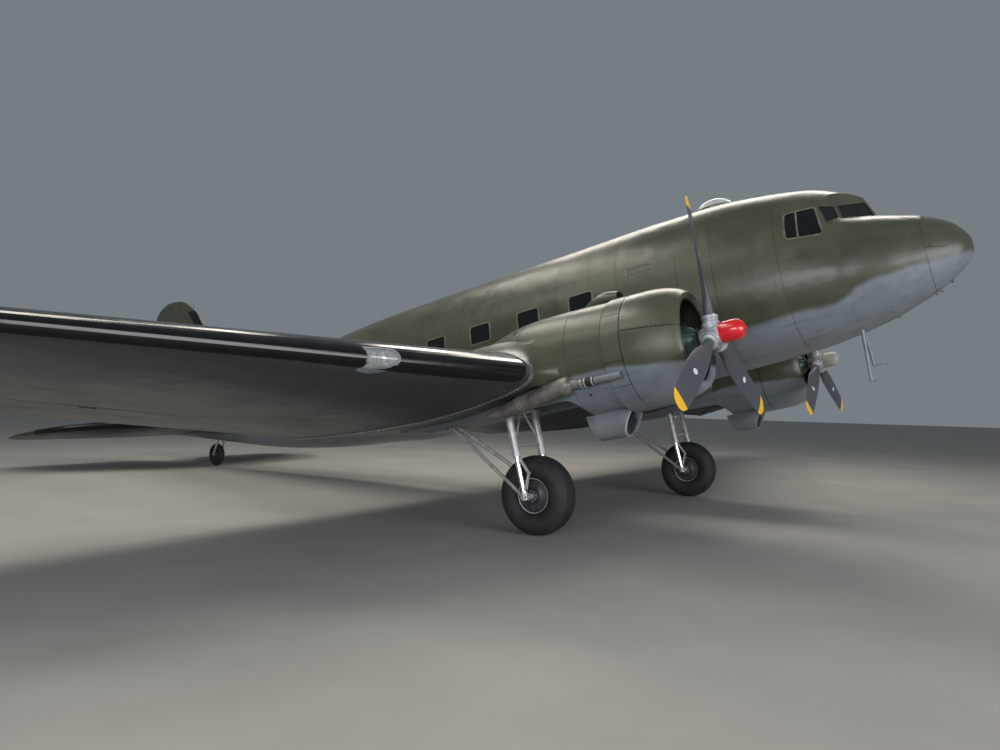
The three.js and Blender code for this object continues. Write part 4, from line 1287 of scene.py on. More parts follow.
    def build_frames(self) -> None:
        """Builds the raised frames round the windows and the windscreen."""
        proud = self.hull(-5) - self.hull(6)
        holes = proud & self.openings(22)
        frames = holes - self.openings(-3)
        inside = self.hull(3) - self.hull(20)
        bars = gathered(self.side_prism(((-3603, 2900), (-3581, 2900), (-3581, 3295), (-3603, 3295)), side)
            for side in SIDES)
        frames = frames + (inside & bars)
        placed("window_frames", frames, self.finishes.frame, "olive_paint")
        screen = (proud & self.panes(13)) - self.panes(-2)
        placed("windscreen_frames", screen, self.finishes.hull, "olive_paint")

    def build_doors(self, outer: Solid, inner: Solid) -> None:
        """Builds the three port doors from the same skin.

        Args:
            outer: the outer skin.
            inner: the lining under it.
        """
        edges = {
            "crew_door": (-2692, -2082, 1993, 3072), "cargo_door_front": (5758, 6788, 1983, 3282),
            "cargo_door_rear": (6812, 7892, 1983, 3282),
        }
        for node, sizes in edges.items():
            cutter = self.doorway(*sizes)
            placed(f"{node}_skin", outer & cutter, self.finishes.hull, "olive_paint", node, node)
            placed(f"{node}_lining", inner & cutter, self.finishes.interior, "interior_paint", body=node)


# Wings

@dataclass
class Wing:
    """Centre section, outer wings, flaps, ailerons, boots and landing lamps."""

    finishes: Finishes
    flap_from: float = 0.82
    flap_to: float = 0.965
    aileron_from: float = 5900
    aileron_to: float = 9900
    aileron_hinge: float = 0.76
    lamp_s: float = 1950
    well_half: float = 430

    def well(self, side: Side) -> Solid:
        """Makes a wheel well's block."""
        x = side.value * ENGINE_X
        return block((x - self.well_half, -1080, 0), (x + self.well_half, 170, 1760))

    def flap_tool(self, rows: Rows, up: float, end_gap: float, lead: float) -> Solid:
        """Makes the box that a split flap fills, or its room.

        Args:
            rows: the wing's rows at both ends.
            up: height over the lower skin.
            end_gap: room past the ends.
            lead: room in front of the hinge.

        Returns:
            The box.
        """
        start, end = (section_point(row, self.flap_from, -1) for row in rows)
        rear = section_point(rows[0], self.flap_to, -1)
        way = [b - a for a, b in zip(start, rear)]
        return box_on_line(start, end, way, hypot(*way) + lead, -60, up, end_gap, lead)

    def aileron_tool(self, gap: float) -> Solid:
        """Makes the aileron's room: a box behind the hinge with a round nose.

        Args:
            gap: room left round the aileron.

        Returns:
            The room.
        """
        rows = [wing_row(s) for s in (self.aileron_from, self.aileron_to)]
        start, end = (Vector(section_point(row, self.aileron_hinge, 0)) for row in rows)
        noses = [half_thickness(self.aileron_hinge, row[4]) * row[3] + gap for row in rows]
        along = (end - start).normalized()
        bar = rod(start - along * gap, end + along * gap, noses[0], noses[1], 32)
        return box_on_line(start, end, (0, 1, 0), 1600, -250, 250, gap, gap) + bar

    def lamp_room(self, grow: float) -> Solid:
        """Makes the landing lamp's room in the leading edge, with its inboard end rounded.

        Args:
            grow: how far its sides are moved out.

        Returns:
            The room.
        """
        x, y, z = wing_row(self.lamp_s)[:3]
        outline = [(x - 180 - grow, z - 118 - grow), (x - 150 - grow, z), (x - 172 - grow, z + 96 + grow)]
        for k in range(9):
            turn = pi / 2 - k / 8 * pi
            outline.append((x + 76 + (104 + grow) * cos(turn), z - 11 + (107 + grow) * sin(turn)))
        return prism([(px, y - 300, pz) for px, pz in outline], 0, 490 + grow)

    def build(self) -> None:
        """Builds and dresses the wings."""
        skin = self.finishes.wing
        centre = winged(CENTRE_WING)
        inner_rows = [[-1330, *CENTRE_WING[1][1:]], [-(JOINT_X - 20), *CENTRE_WING[1][1:]]]
        outer_rows = [wing_row(60), wing_row(5700)]
        room = self.flap_tool(inner_rows, 20, 10, 8)
        pads = total(rod((x, 300, 1300), (x, 300, 1150), 70, sides=32) for x in (-1900, 1900))
        middle = centre - self.well(Side.RIGHT) - self.well(Side.LEFT) - room - room.on(Side.LEFT) + pads
        placed("centre_wing_skin", middle, skin, "grey_paint", "wing_centre_section")
        flare = [[-out, WING_EDGE_Y - grow, WING_EDGE_Z, ROOT_CHORD + grow, 0.16 + 1.1 * grow / ROOT_CHORD]
            for out, grow in ((1860, 0.5), (1600, 14), (1400, 42), (1250, 84), (1100, 140), (700, 260))]
        hull = barrel(eased(HULL, 110), -0.3)
        fillet = (winged(flare) & block((-2000, -1400, 0), (-300, 2200, 4000))) - hull - winged(CENTRE_WING,
            0.3)
        on_both("wing_root_fillet", fillet, skin, "grey_paint")
        flap = centre & self.flap_tool(inner_rows, 14, 0, 0)
        wing = winged(outer_wing_rows())
        lamp_hole = self.lamp_room(0.3)
        shell = wing - self.aileron_tool(8) - self.flap_tool(outer_rows, 20, 10, 8) - lamp_hole
        aileron = wing & self.aileron_tool(0)
        outer_flap = wing & self.flap_tool(outer_rows, 14, 0, 0)
        on_both("outer_wing_skin", shell, skin, "grey_paint", "outer_wing")
        on_both("aileron_fabric", aileron, self.finishes.fabric, "olive_paint", "aileron", "aileron")
        on_both("inner_flap_plate", flap, skin, "grey_paint", "flap_inner", "flap_inner")
        on_both("outer_flap_plate", outer_flap, skin, "grey_paint", "flap_outer", "flap_outer")
        self.build_edge(lamp_hole)
        self.build_hinge_slots()
        self.build_under_joint()
        self.build_lamp(wing)

    def build_hinge_slots(self) -> None:
        """Builds the openings under the wing at the aileron's hinges as black patches of painted shade."""
        slots = []
        for s in (6350, 7900, 9450):
            row = wing_row(s)
            x, y, z = section_point(row, 0.735, -1)
            slots.append(block((x - 90, y - 28, z - 200), (x + 90, y + 22, z + 200), 12))
        rows = [wing_row(s) for s in (6000, 9800)]
        # Thin black patches flush in the skin: painted shade in the hinge openings
        slots = (winged(rows, 1.5) - winged(rows, -2)) & gathered(slots) & block((-15000, -3000, 0),
            (0, 6000, 2600))
        on_both("aileron_hinge_slots", slots, self.finishes.dark, "grey_paint")

    def build_under_joint(self) -> None:
        """Builds the dark lap joint under the outer wing ahead of the flap, and its drain slot as a black
        patch of painted shade.
        """
        joint = prism([(-6506, 2382, 2600), (-8229, 2495, 2600), (-8229, 2503, 2600), (-6506, 2390, 2600)],
            -1500, 1500)
        # The joint line is a dark seam; the drain slot's black patch is painted shade
        cuts = gathered([joint, block((-7539, 2480, 1400), (-7359, 2530, 2000), 10)])
        rows = [wing_row(s) for s in (2400, 4600)]
        under = (winged(rows, 1.5) - winged(rows, -2)) & cuts & block((-9000, 0, 0), (-6000, 4000, 1765))
        on_both("wing_lap_joint", under, self.finishes.dark, "grey_paint")

    def build_edge(self, lamp_hole: Solid) -> None:
        """Builds the rubber boot along the leading edge and the metal band over the joint.

        Args:
            lamp_hole: the lamp's room, which the boot stops at.
        """
        rows = [wing_row(s) for s in (60, STRAIGHT)]
        sheet = winged(rows, 5) - winged([wing_row(s) for s in (0, STRAIGHT + 400)], 0)
        below = ((75, -60), (75, 8), (90, 48), (125, 82), (190, 102), (1000, 120), (1700, 107), (2800, 77),
            (9290, 62))
        above = ((75, -60), (75, 20), (95, 110), (140, 190), (230, 250), (9290, 150))
        halves = []
        for edge, low, high in ((below, -420, 2), (above, -2, 420)):
            corners = [(-(JOINT_X + s), WING_EDGE_Y + s * SWEEP_SLOPE + aft,
                WING_EDGE_Z + s * DIHEDRAL_SLOPE) for s, aft in (*edge, (9290, -60))]
            halves.append(prism(corners, low, high))
        boot = (sheet & (halves[0] + halves[1])) - lamp_hole
        on_both("deicer_boot", boot, self.finishes.rubber_boot, "tyre_rubber")
        root = wing_row(0)
        band_rows = [[root[0] + 45, *root[1:]], [root[0] - 32, *root[1:]]]
        band = winged(band_rows, 9) - winged([[root[0] + 60, *root[1:]], [root[0] - 60, *root[1:]]], 1)
        bolts = []
        for i in range(60):
            along = (1 - cos((i + 0.5) / 60 * pi)) / 2
            for face in (-1, 1):
                foot = Vector(section_point([root[0] + 30, *root[1:]], along, face, 2))
                tip = Vector(section_point([root[0] + 30, *root[1:]], along, face, 15))
                bolts.append(rod(foot, tip, 9, sides=8))
        on_both("joint_band", gathered([band, *bolts]), self.finishes.bare, "gear_steel")

    def build_lamp(self, wing: Solid) -> None:
        """Builds the landing lamp: lens, frame, liner, bowl and ring.

        Args:
            wing: the outer wing's full form.
        """
        row = wing_row(self.lamp_s)
        near = [wing_row(s) for s in (1000, 3000)]
        skin = wing - winged(near, -5)
        lens = skin & self.lamp_room(-2)
        on_both("lamp_lens", lens, self.finishes.lens, "glazing", "landing_lamp")
        rim = ((winged(near, 7) - winged(near, 0)) & self.lamp_room(24)) - self.lamp_room(-8)
        on_both("lamp_frame", rim, self.finishes.duct, "grey_paint")
        inside = (winged(near, -9) & self.lamp_room(-0.5)) - (winged(near, -14)
            & self.lamp_room(-6).shifted(-40))
        back = block((row[0] - 200, row[1] + 150, row[2] - 400), (row[0] + 200, row[1] + 200, row[2] + 400))
        on_both("lamp_liner", inside & back, self.finishes.rim, "grey_paint")
        place = Matrix.Translation((row[0] + 80, row[1] + 130, row[2] - 5)) @ Matrix.Rotation(pi, 4, "Z")
        bowl = turned([(0, 0), (40, 4), (70, 18), (84, 40), (88, 60), (84, 60), (78, 42), (66, 22), (36, 10),
            (0, 6)], "Y", 40).moved(place)
        on_both("lamp_bowl", bowl, self.finishes.chrome, "gear_steel")
        ring = turned([(78, 30), (94, 30), (94, 68), (78, 68)], "Y", 40, closed=True).moved(place)
        on_both("lamp_ring", ring, self.finishes.dark, "gear_steel")


# Nacelles, engines and propellers

NACELLE = ((-1700, 630, 2190, 950, 1574), (-1672, 650, 2220, 925, 1574), (-1640, 702, 2285, 900, 1574),
    (-900, 715, 2310, 880, 1574), (-300, 710, 2290, 900, 1560), (300, 640, 2150, 960, 1540),
    (1000, 500, 1950, 1040, 1500), (1700, 320, 1760, 1120, 1440), (2300, 120, 1560, 1220, 1390))
COWL_NOSE = ((500, -2535), (508, -2556), (520, -2573), (536, -2583), (556, -2585), (580, -2578),
    (604, -2556), (634, -2506), (664, -2440), (690, -2345), (710, -2232), (720, -2100), (725, -1960),
    (725, -1902))
GILL_JOINTS = (0, 27, 54, 102, 127, 152, 208, 233, 258, 306, 333)


@dataclass
class PowerPlant:
    """One side's nacelle, cowling, engine, propeller, exhaust and oil cooler."""

    finishes: Finishes
    side: Side
    wing: Wing
    propeller_y: float = -2765
    radius: float = 1753

    @property
    def x(self) -> float:
        """X of the engine's axis."""
        return self.side.value * ENGINE_X

    def drawn(self, *piece: object) -> None:
        """Places a starboard shape on this side, from what on_side takes after the side."""
        on_side(self.side, *piece)

    def build(self) -> None:
        """Builds and dresses the whole unit."""
        self.build_nacelle()
        self.build_cowling()
        self.build_engine()
        self.build_propeller()
        self.build_exhaust()
        self.build_cooler()

    def body(self, inset: float) -> Solid:
        """Makes the nacelle's closed form at a depth under its skin."""
        return barrel([*NACELLE[:2], *eased(NACELLE[2:], 90)], inset, -ENGINE_X, 80)

    def cowl_room(self) -> Solid:
        """Makes the round room that the cowling and its gills fill."""
        return turned([(0, -3000), (742, -3000), (742, -1645), (0, -1645)], "Y", 64,
            (-ENGINE_X, 0, THRUST_Z))

    def fillets(self) -> Solid:
        """Makes the flared skins where the nacelle's sides meet the top and front of the wing.

        Returns:
            Both skins.
        """
        flares = []
        for sign in (-1, 1):
            rows = [[-ENGINE_X + sign * out, WING_EDGE_Y - grow, WING_EDGE_Z, ROOT_CHORD + grow,
                0.16 + 1.1 * grow / ROOT_CHORD] for out, grow in ((1065, 0.5), (980, 10), (890, 38),
                (800, 85), (720, 150), (640, 230))]
            flares.append(winged(rows))
        return (flares[0] + flares[1]) & block((-4000, -1300, 1330), (-1500, 1500, 3000))

    def build_nacelle(self) -> None:
        """Builds the nacelle skin with its well and joints, and the air scoop on top."""
        scoop = ((-1690, 125, 2415, 2250, 2320), (-1480, 135, 2445, 2250, 2330),
            (-1300, 115, 2390, 2200, 2300), (-1100, 60, 2280, 2150, 2220))
        mouth = barrel(((-1750, 100, 2395, 2290, 2345), (-1500, 90, 2395, 2290, 2345)), 0, -ENGINE_X, 40)
        intake = barrel(eased(scoop, 40), 0, -ENGINE_X, 48) - mouth - self.cowl_room()
        below = block((-4000, -900, 0), (-1500, 3000, 1120)) + rod((-4000, -900, 870), (-1500, -900, 870),
            250, sides=48)
        below = below + block((-4000, -1150, 0), (-1500, -850, 870))
        strut = block((-ENGINE_X - 190, 1120, 0), (-ENGINE_X + 190, 1350, 1300))
        joints = gathered(block((-4000, front, low), (-1500, rear, high)) for front, rear, low, high in (
            (-1144, -1136, 0, 3000), (-1680, -1136, 1590, 1598), (-1680, -1136, 1205, 1213),
            (-424, -416, 1600, 3000), (-1564, -1556, 700, 1168), (-1560, -1140, 1160, 1168)))
        grooves = (self.body(-3) - self.body(5)) & joints
        shape = (self.body(0) - grooves) + intake + self.fillets()
        shape = shape - winged(CENTRE_WING, 0.3) - self.wing.well(Side.RIGHT) - below - strut
        self.drawn("nacelle_skin", shape, self.finishes.nacelle[self.side], "olive_paint", "nacelle")
        # A black disc flush in the skin: painted shade in the drain hole
        drain = (self.body(-1) - self.body(4)) & rod((-4000, -1328, 1115), (-3000, -1328, 1115), 16,
            sides=24)
        self.drawn("nacelle_drain", drain, self.finishes.dark, "grey_paint")
        filler = rod((-3258, -331, 2115), (-3281, -331, 2143), 44, sides=32)
        self.drawn("oil_filler_cap", filler, self.finishes.dark, "olive_paint")

    def build_cowling(self) -> None:
        """Builds the cowling's ring with its side joints and fasteners, and the gill flaps behind it."""
        axis = (-ENGINE_X, 0, THRUST_Z)
        back = [(713, -1902), (709, -2040), (693, -2230), (660, -2370), (616, -2470), (560, -2530),
            (520, -2545)]
        split = prism([(0, -1880, 1769), (0, -2600, 1690), (0, -2600, 1697), (0, -1880, 1776)], -4000, 4000)
        ring = turned([*COWL_NOSE, *back], "Y", 120, axis, closed=True) - split
        self.drawn("cowl_wrapper", ring, self.finishes.nacelle[self.side], "olive_paint", "cowling")
        studs = []
        for i in range(13):
            y = -1935 - i * 46
            z = 1772 + (y + 1880) * 0.11 - THRUST_Z
            radius = next(r0 + (r1 - r0) * (y - y0) / (y1 - y0) for (r0, y0),
                (r1, y1) in zip(COWL_NOSE, COWL_NOSE[1:]) if y0 <= y <= y1)
            for sign in (-1, 1):
                way = Vector((sign * sqrt(radius * radius - z * z), 0, z)).normalized()
                foot = Vector((-ENGINE_X, y, THRUST_Z)) + way * (radius - 3) + Vector((0, 0, 14))
                studs.append(rod(foot, foot + way * 5, 7, sides=10))
        # The studs are black: painted shade round the fasteners
        self.drawn("cowl_fasteners", gathered(studs), self.finishes.dark, "olive_paint")
        flap = turned([(716, -1892), (726, -1890), (733, -1656), (724, -1652)], "Y", 120, axis, closed=True)
        slots = [block((-4, -2000, 500), (4, -1500, 900)).moved(Matrix.Translation(axis)
            @ Matrix.Rotation(radians(degrees), 4, "Y")) for degrees in GILL_JOINTS]
        self.drawn("cowl_gills", flap - gathered(slots), self.finishes.nacelle[self.side], "olive_paint")
        # A support ring under the cowl's rear and the gills, whose black is painted shade seen through the
        # gaps
        liner = turned([(698, -1960), (709, -1960), (709, -1700), (698, -1700)], "Y", 96, axis, closed=True)
        self.drawn("cowl_support_ring", liner, self.finishes.dark, "olive_paint")

    def build_engine(self) -> None:
        """Builds the two-row radial engine: finned cylinders, case, gear case, push rods and leads."""
        centre = Matrix.Translation((-ENGINE_X, 0, THRUST_Z))
        case = turned([(0, -2440), (210, -2440), (285, -2300), (285, -1840), (330, -1820), (330, -1750),
            (0, -1750)], "Y", 40)
        fins = [(112, 240), (112, 250)]
        z = 255
        while z < 560:
            reach = 102 - max(0, z - 440) * 0.1
            fins += [(reach, z), (reach, z + 5), (84, z + 6), (84, z + 15)]
            z += 16
        fins += [(88, 575), (88, 590), (60, 604), (0, 606)]
        barrel_form = turned([(0, 236), *fins], "Z", 18)
        heads = []
        for row_y, phase in ((-2200, 0.0), (-1960, pi / 7)):
            for a in turns(7):
                turn = centre @ Matrix.Rotation(phase + a, 4, "Y") @ Matrix.Translation((0, row_y, 0))
                heads.append(barrel_form.moved(turn))
                rocker = gathered([block((-62, -70, 560), (-12, -20, 626), 12),
                    block((12, -70, 560), (62, -20, 626), 12)])
                heads.append(rocker.moved(turn))
        self.drawn("engine_cylinders", gathered(heads), self.finishes.engine, "engine_metal", "engine")
        mounts = [rod(around(250, a, -1765), around(400, a, -1718), 18)
            for a in (0.5, 1.9, 2.6, 3.7, 4.6, 5.8)]
        self.drawn("engine_case", gathered([case, *mounts]).moved(centre), self.finishes.engine,
            "engine_metal")
        nose = [turned([(0, -2600), (70, -2600), (92, -2590), (150, -2535), (186, -2480), (206, -2420),
            (214, -2400), (232, -2396), (232, -2376), (0, -2376)], "Y", 48)]
        nose += [rod(around(222, a, -2410), around(222, a, -2390), 9, sides=6) for a in turns(14)]
        nose += [rod(around(110, a, -2580), around(150, a, -2440), 30, 36, 16) for a in (0.35, 1.2, 5.1)]
        self.drawn("gear_case", gathered(nose).moved(centre), self.finishes.gear_case, "engine_metal")
        rods = [rod(around(236, a + shift, -2330), around(560, a + shift * 0.5, -2268), 8, sides=10)
                for a in turns(7) for shift in (-0.09, 0.09)]
        self.drawn("push_rods", gathered(rods).moved(centre), self.finishes.steel, "engine_metal")
        loop = [(268 + 12 * cos(a), -2385 + 12 * sin(a)) for a in turns(10)]
        leads = [turned(loop, "Y", 48, closed=True)]
        for a in turns(14, 0.5):
            leads.append(pipe([(*around(268, a, -2385), 6), (*around(400, a, -2370), 6),
                (*around(520, a, -2250), 6)], 8, 60))
        self.drawn("ignition_harness", gathered(leads).moved(centre), self.finishes.hose, "engine_metal")

    def build_propeller(self) -> None:
        """Builds the three blades, the hub and the dome."""
        phase = radians(0.7 if self.side is Side.RIGHT else -1.5)
        place = Matrix.Translation((self.x, self.propeller_y, THRUST_Z)) @ Matrix.Rotation(phase, 4, "Y")
        body = f"propeller_{self.side.tag}"
        rows = [(100, 130, 128, 48), (330, 132, 115, 38), (560, 225, 70, 28), (850, 290, 44, 18),
            (1200, 304, 28, 12), (1500, 292, 18, 9), (1620, 262, 13, 8.2), (1700, 200, 10, 7.7),
            (1732, 142, 7, 7.3), (self.radius, 52, 5, 7)]

        def at(row: Sequence[float], part: float) -> Point:
            """Gives a point of the blade's section, sharp at both edges."""
            r, chord, thick, pitch = row
            angle, turn = part * TAU, radians(pitch)
            round_part = min(max((620 - r) / 300, 0), 1)
            across = chord / 2 * sin(angle)
            out = thick / 2 * (cos(angle) if round_part else bent(cos(angle), 1.4))
            return (-(across * cos(turn)) - out * sin(turn), -across * sin(turn) + out * cos(turn), r)
        blade = tube(32, eased(rows, 45), at)
        blades = gathered(blade.moved(place @ Matrix.Rotation(a, 4, "Y")) for a in turns(3))
        placed(f"propeller_blades_{self.side.tag}", blades, self.finishes.blade, "blade_paint", body, body)
        parts = [turned([(0, -104), (126, -104), (132, -96), (132, -62), (118, -54), (118, 84), (90, 144),
            (0, 144)], "Y", 40)]
        parts += [rod(around(120, a, -112), around(120, a, -50), 13, sides=8) for a in turns(8)]
        for blade_angle in turns(3):
            turn = Matrix.Rotation(blade_angle, 4, "Y")
            parts.append(turned([(0, 60), (92, 60), (104, 80), (104, 150), (92, 168), (92, 190), (100, 196),
                (100, 226), (78, 240), (0, 240)], "Z", 32).moved(turn))
            for a in turns(6):
                foot, tip = ((r * sin(a), r * cos(a), 130) for r in (98, 112))
                parts.append(rod(foot, tip, 12, sides=6).moved(turn))
        placed(f"propeller_hub_{self.side.tag}", gathered(parts).moved(place), self.finishes.hub,
            "gear_steel", body=body)
        dome = turned([(0, -404), (12, -403), (13, -394), (38, -390), (66, -380), (92, -362), (112, -336),
            (124, -302), (128, -262), (128, -112), (122, -100), (0, -100)], "Y", 56)
        finish = self.finishes.red if self.side is Side.RIGHT else self.finishes.pale
        placed(f"propeller_dome_{self.side.tag}", dome.moved(place), finish, "blade_paint", body=body)

    def build_exhaust(self) -> None:
        """Builds the muff with its clamps and scarfed mouth, and the thin pipe and sleeve ahead of it."""
        room = self.body(-0.3)
        wing = winged(CENTRE_WING, 0.3)
        muff = pipe([(-3545, -1182, 1272, 62), (-3554, -1150, 1273, 104), (-3556, -1110, 1268, 112),
            (-3556, -640, 1203, 112), (-3556, -440, 1175, 110), (-3550, -300, 1148, 98),
            (-3542, -60, 1095, 92), (-3534, 260, 1000, 92)], 48, 40)
        bore = pipe([(-3546, -180, 1121, 84), (-3540, 0, 1078, 84), (-3530, 420, 952, 84)], 40, 60)
        scarf = prism([(0, -171, 1044), (0, 900, 1312), (0, 900, 500), (0, -171, 500)], -4000, 4000)
        shape = muff - bore - scarf - room - wing
        self.drawn("exhaust_muff", shape, self.finishes.exhaust, "exhaust_steel", "exhaust")
        clamps = []
        for y, radius in ((-1085, 112), (-640, 112), (-470, 111), (-425, 110)):
            z = 1268 + (y + 1110) * -0.139
            band = turned([(radius, -13), (radius + 5, -11), (radius + 5, 11), (radius, 13)], "Y", 48,
                closed=True)
            clamps.append(band.moved(Matrix.Translation((-3556, y, z))
                @ Matrix.Rotation(radians(-8), 4, "X")))
            clamps.append(block((-3556 - radius - 22, y - 13, z - 9), (-3556 - radius, y + 13, z + 9), 3))
        self.drawn("exhaust_clamps", gathered(clamps) - room - wing, self.finishes.exhaust, "exhaust_steel")
        stub = pipe([(-3542, -1310, 1260, 50), (-3544, -1230, 1266, 58), (-3545, -1175, 1271, 60)], 36,
            30) - room
        self.drawn("exhaust_stub", stub, self.finishes.exhaust, "exhaust_steel")
        thin = pipe([(-3532, -1850, 1262, 42), (-3532, -1600, 1261, 44), (-3534, -1330, 1258, 44)], 28,
            60) - room
        bore = rod((-3532, -1852, 1262), (-3532, -1780, 1262), 34)
        self.drawn("heater_pipe", thin - bore, self.finishes.duct, "exhaust_steel")
        sleeve = rod((-3533, -1494, 1258), (-3535, -1357, 1256), 54, sides=36) - room
        self.drawn("heater_sleeve", sleeve, self.finishes.hose, "tyre_rubber")
        hoops = [turned([(54, -9), (60, -8), (60, 8), (54, 9)], "Y", 36, (-3534, y, 1257), closed=True)
            for y in (-1478, -1374, -1322)]
        self.drawn("sleeve_hoops", gathered(hoops) - room, self.finishes.steel, "gear_steel")

    def build_cooler(self) -> None:
        """Builds the oil cooler's duct with both ends on a rake, its rim and the core inside."""
        rows = ((-1720, 178, 940, 585, 762), (-1600, 192, 955, 572, 765), (-1350, 205, 980, 565, 765),
                (-850, 190, 1010, 570, 765))
        mouth = [(0, -1505, 594), (0, -1715, 995), (0, -2000, 995), (0, -2000, 300), (0, -1351, 300)]
        rear = [(0, -1113, 585), (0, -962, 1045), (0, -700, 1045), (0, -700, 300), (0, -1206, 300)]
        rakes = prism(mouth, -4000, 4000) + prism(rear, -4000, 4000)
        room = self.body(-0.3) + self.cowl_room()
        form = barrel(eased(rows, 60), 0, -ENGINE_X, 64)
        bore = barrel(((-1900, 170, 932, 594, 762), (-800, 176, 996, 582, 765)), 0, -ENGINE_X, 64)
        duct = form - bore - rakes - room
        self.drawn("oil_cooler_duct", duct, self.finishes.duct, "grey_paint", "oil_cooler")
        lip = prism([(x, y + 14, z) for x, y, z in mouth], -4000, 4000)
        rim = (barrel(eased(rows, 60), -4, -ENGINE_X, 64) - barrel(eased(rows, 60), 9, -ENGINE_X, 64)) & lip
        self.drawn("oil_cooler_rim", rim - prism(mouth, -4000, 4000) - room, self.finishes.rim, "grey_paint")
        fins = [block((-ENGINE_X - 190, -1560, 596 + i * 17), (-ENGINE_X + 190, -1470, 604 + i * 17))
            for i in range(20)]
        core = barrel(((-1480, 169, 931, 595, 762), (-1410, 169, 931, 595, 762)), 0, -ENGINE_X, 64)
        grid = gathered(fins) & barrel(((-1560, 168, 930, 596, 762), (-1470, 168, 930, 596, 762)), 0,
            -ENGINE_X, 64)
        self.drawn("oil_cooler_core", (core + (grid - prism([(x, y + 30, z) for x, y, z in mouth], -4000,
            4000))) - room, self.finishes.core, "engine_metal")


# Landing gear

@dataclass
class MainGear:
    """One side's twin oleo legs with their braces, wheel and tyre."""

    finishes: Finishes
    side: Side
    half: float = 325
    top: float = 1180
    lean: float = 65
    middle: float = 700

    def on_leg(self, offset: float, z: float) -> Point:
        """Gives a point on the leg's plane at a height."""
        return -ENGINE_X + offset, self.lean * z / self.top, z

    def build(self) -> None:
        """Builds and dresses the gear."""
        room = winged(CENTRE_WING, 0.3)
        reach = 429.5
        struts = [rod(self.on_leg(-self.half - 40, 0), self.on_leg(self.half + 40, 0), 42, sides=28),
            rod((-ENGINE_X - reach, self.lean, self.top), (-ENGINE_X + reach, self.lean, self.top), 46,
            sides=28), rod(self.on_leg(-self.half, self.middle), self.on_leg(self.half, self.middle), 24),
            rod((-ENGINE_X - 130, 1250, 1135), (-ENGINE_X + 130, 1250, 1135), 38)]
        pistons = []
        for sign in (-1, 1):
            offset = sign * self.half
            for low, high, radius in ((556, self.top, 52), (540, 600, 58), (830, 862, 58)):
                struts.append(rod(self.on_leg(offset, low), self.on_leg(offset, high), radius, sides=32))
            struts += [
                rod(self.on_leg(offset, 60), self.on_leg(offset, -40), 50, 44, sides=28),
                rod(self.on_leg(offset, self.middle), self.on_leg(sign * 20, self.top), 18),
                rod((-ENGINE_X + offset, 10, 0), (-ENGINE_X + sign * 70, 1250, 1135), 26, sides=20),
            ]
            pistons.append(rod(self.on_leg(offset, 20), self.on_leg(offset, 560), 36, sides=32))
            knee = (-ENGINE_X + offset, -120, 305)
            for end in (90, 520):
                x, y, z = self.on_leg(offset, end)
                for out, tip in ((-24, -14), (24, 14)):
                    struts.append(rod((x + out, y - 36, z), (knee[0] + tip, *knee[1:]), 10, sides=12))
            struts.append(rod((knee[0] - 30, *knee[1:]), (knee[0] + 30, *knee[1:]), 14, sides=14))
        tag = self.side.tag
        placed(f"gear_struts_{tag}", gathered(struts).on(self.side), self.finishes.steel, "gear_steel",
            f"main_gear_{tag}")
        placed(f"oleo_pistons_{tag}", gathered(pistons).on(self.side), self.finishes.chrome, "gear_steel")
        self.build_wheel()

    def build_wheel(self) -> None:
        """Builds the ribbed tyre and the dished wheel."""
        centre = (self.side.value * ENGINE_X, 0, 0)
        tyre = [(238, -118), (246, -140), (262, -166), (300, -192), (350, -205), (400, -207), (446, -196),
            (490, -166), (520, -118)]
        for x, crown in ((-102, 526), (-62, 534.5), (-22, 539.5)):
            tyre += [(crown - 1.5, x - 7), (crown - 9, x - 5), (crown - 9, x + 5), (crown, x + 7)]
        profile = [*tyre, *[(r, -x) for r, x in reversed(tyre)]]
        body = f"main_wheel_{self.side.tag}"
        placed(f"tyre_{self.side.tag}", turned(profile, "X", 96, centre, closed=True), self.finishes.tyre,
            "tyre_rubber", f"main_tyre_{self.side.tag}", body)
        half = [(46, -158), (86, -158), (92, -150), (98, -112), (150, -88), (196, -84), (214, -100),
            (222, -118), (236, -122)]
        wheel = [*half, *[(r, -x) for r, x in reversed(half)]]
        placed(f"wheel_{self.side.tag}", turned(wheel, "X", 80, centre, closed=True), self.finishes.wheel,
            "wheel_paint", f"main_wheel_{self.side.tag}", body)
        ring = [(226, -119), (234, -122), (238, -128), (234, -131), (226, -126)]
        rings = [turned(ring, "X", 80, centre, closed=True), turned([(r, -x) for r, x in ring], "X", 80,
            centre, closed=True)]
        for sign in (-1, 1):
            for a in turns(8):
                foot = Vector((centre[0] + sign * 150, 68 * cos(a), 68 * sin(a)))
                rings.append(rod(foot, foot + Vector((sign * 18, 0, 0)), 9, sides=6))
        placed(f"wheel_rings_{self.side.tag}", gathered(rings), self.finishes.rim, "wheel_paint", body=body)


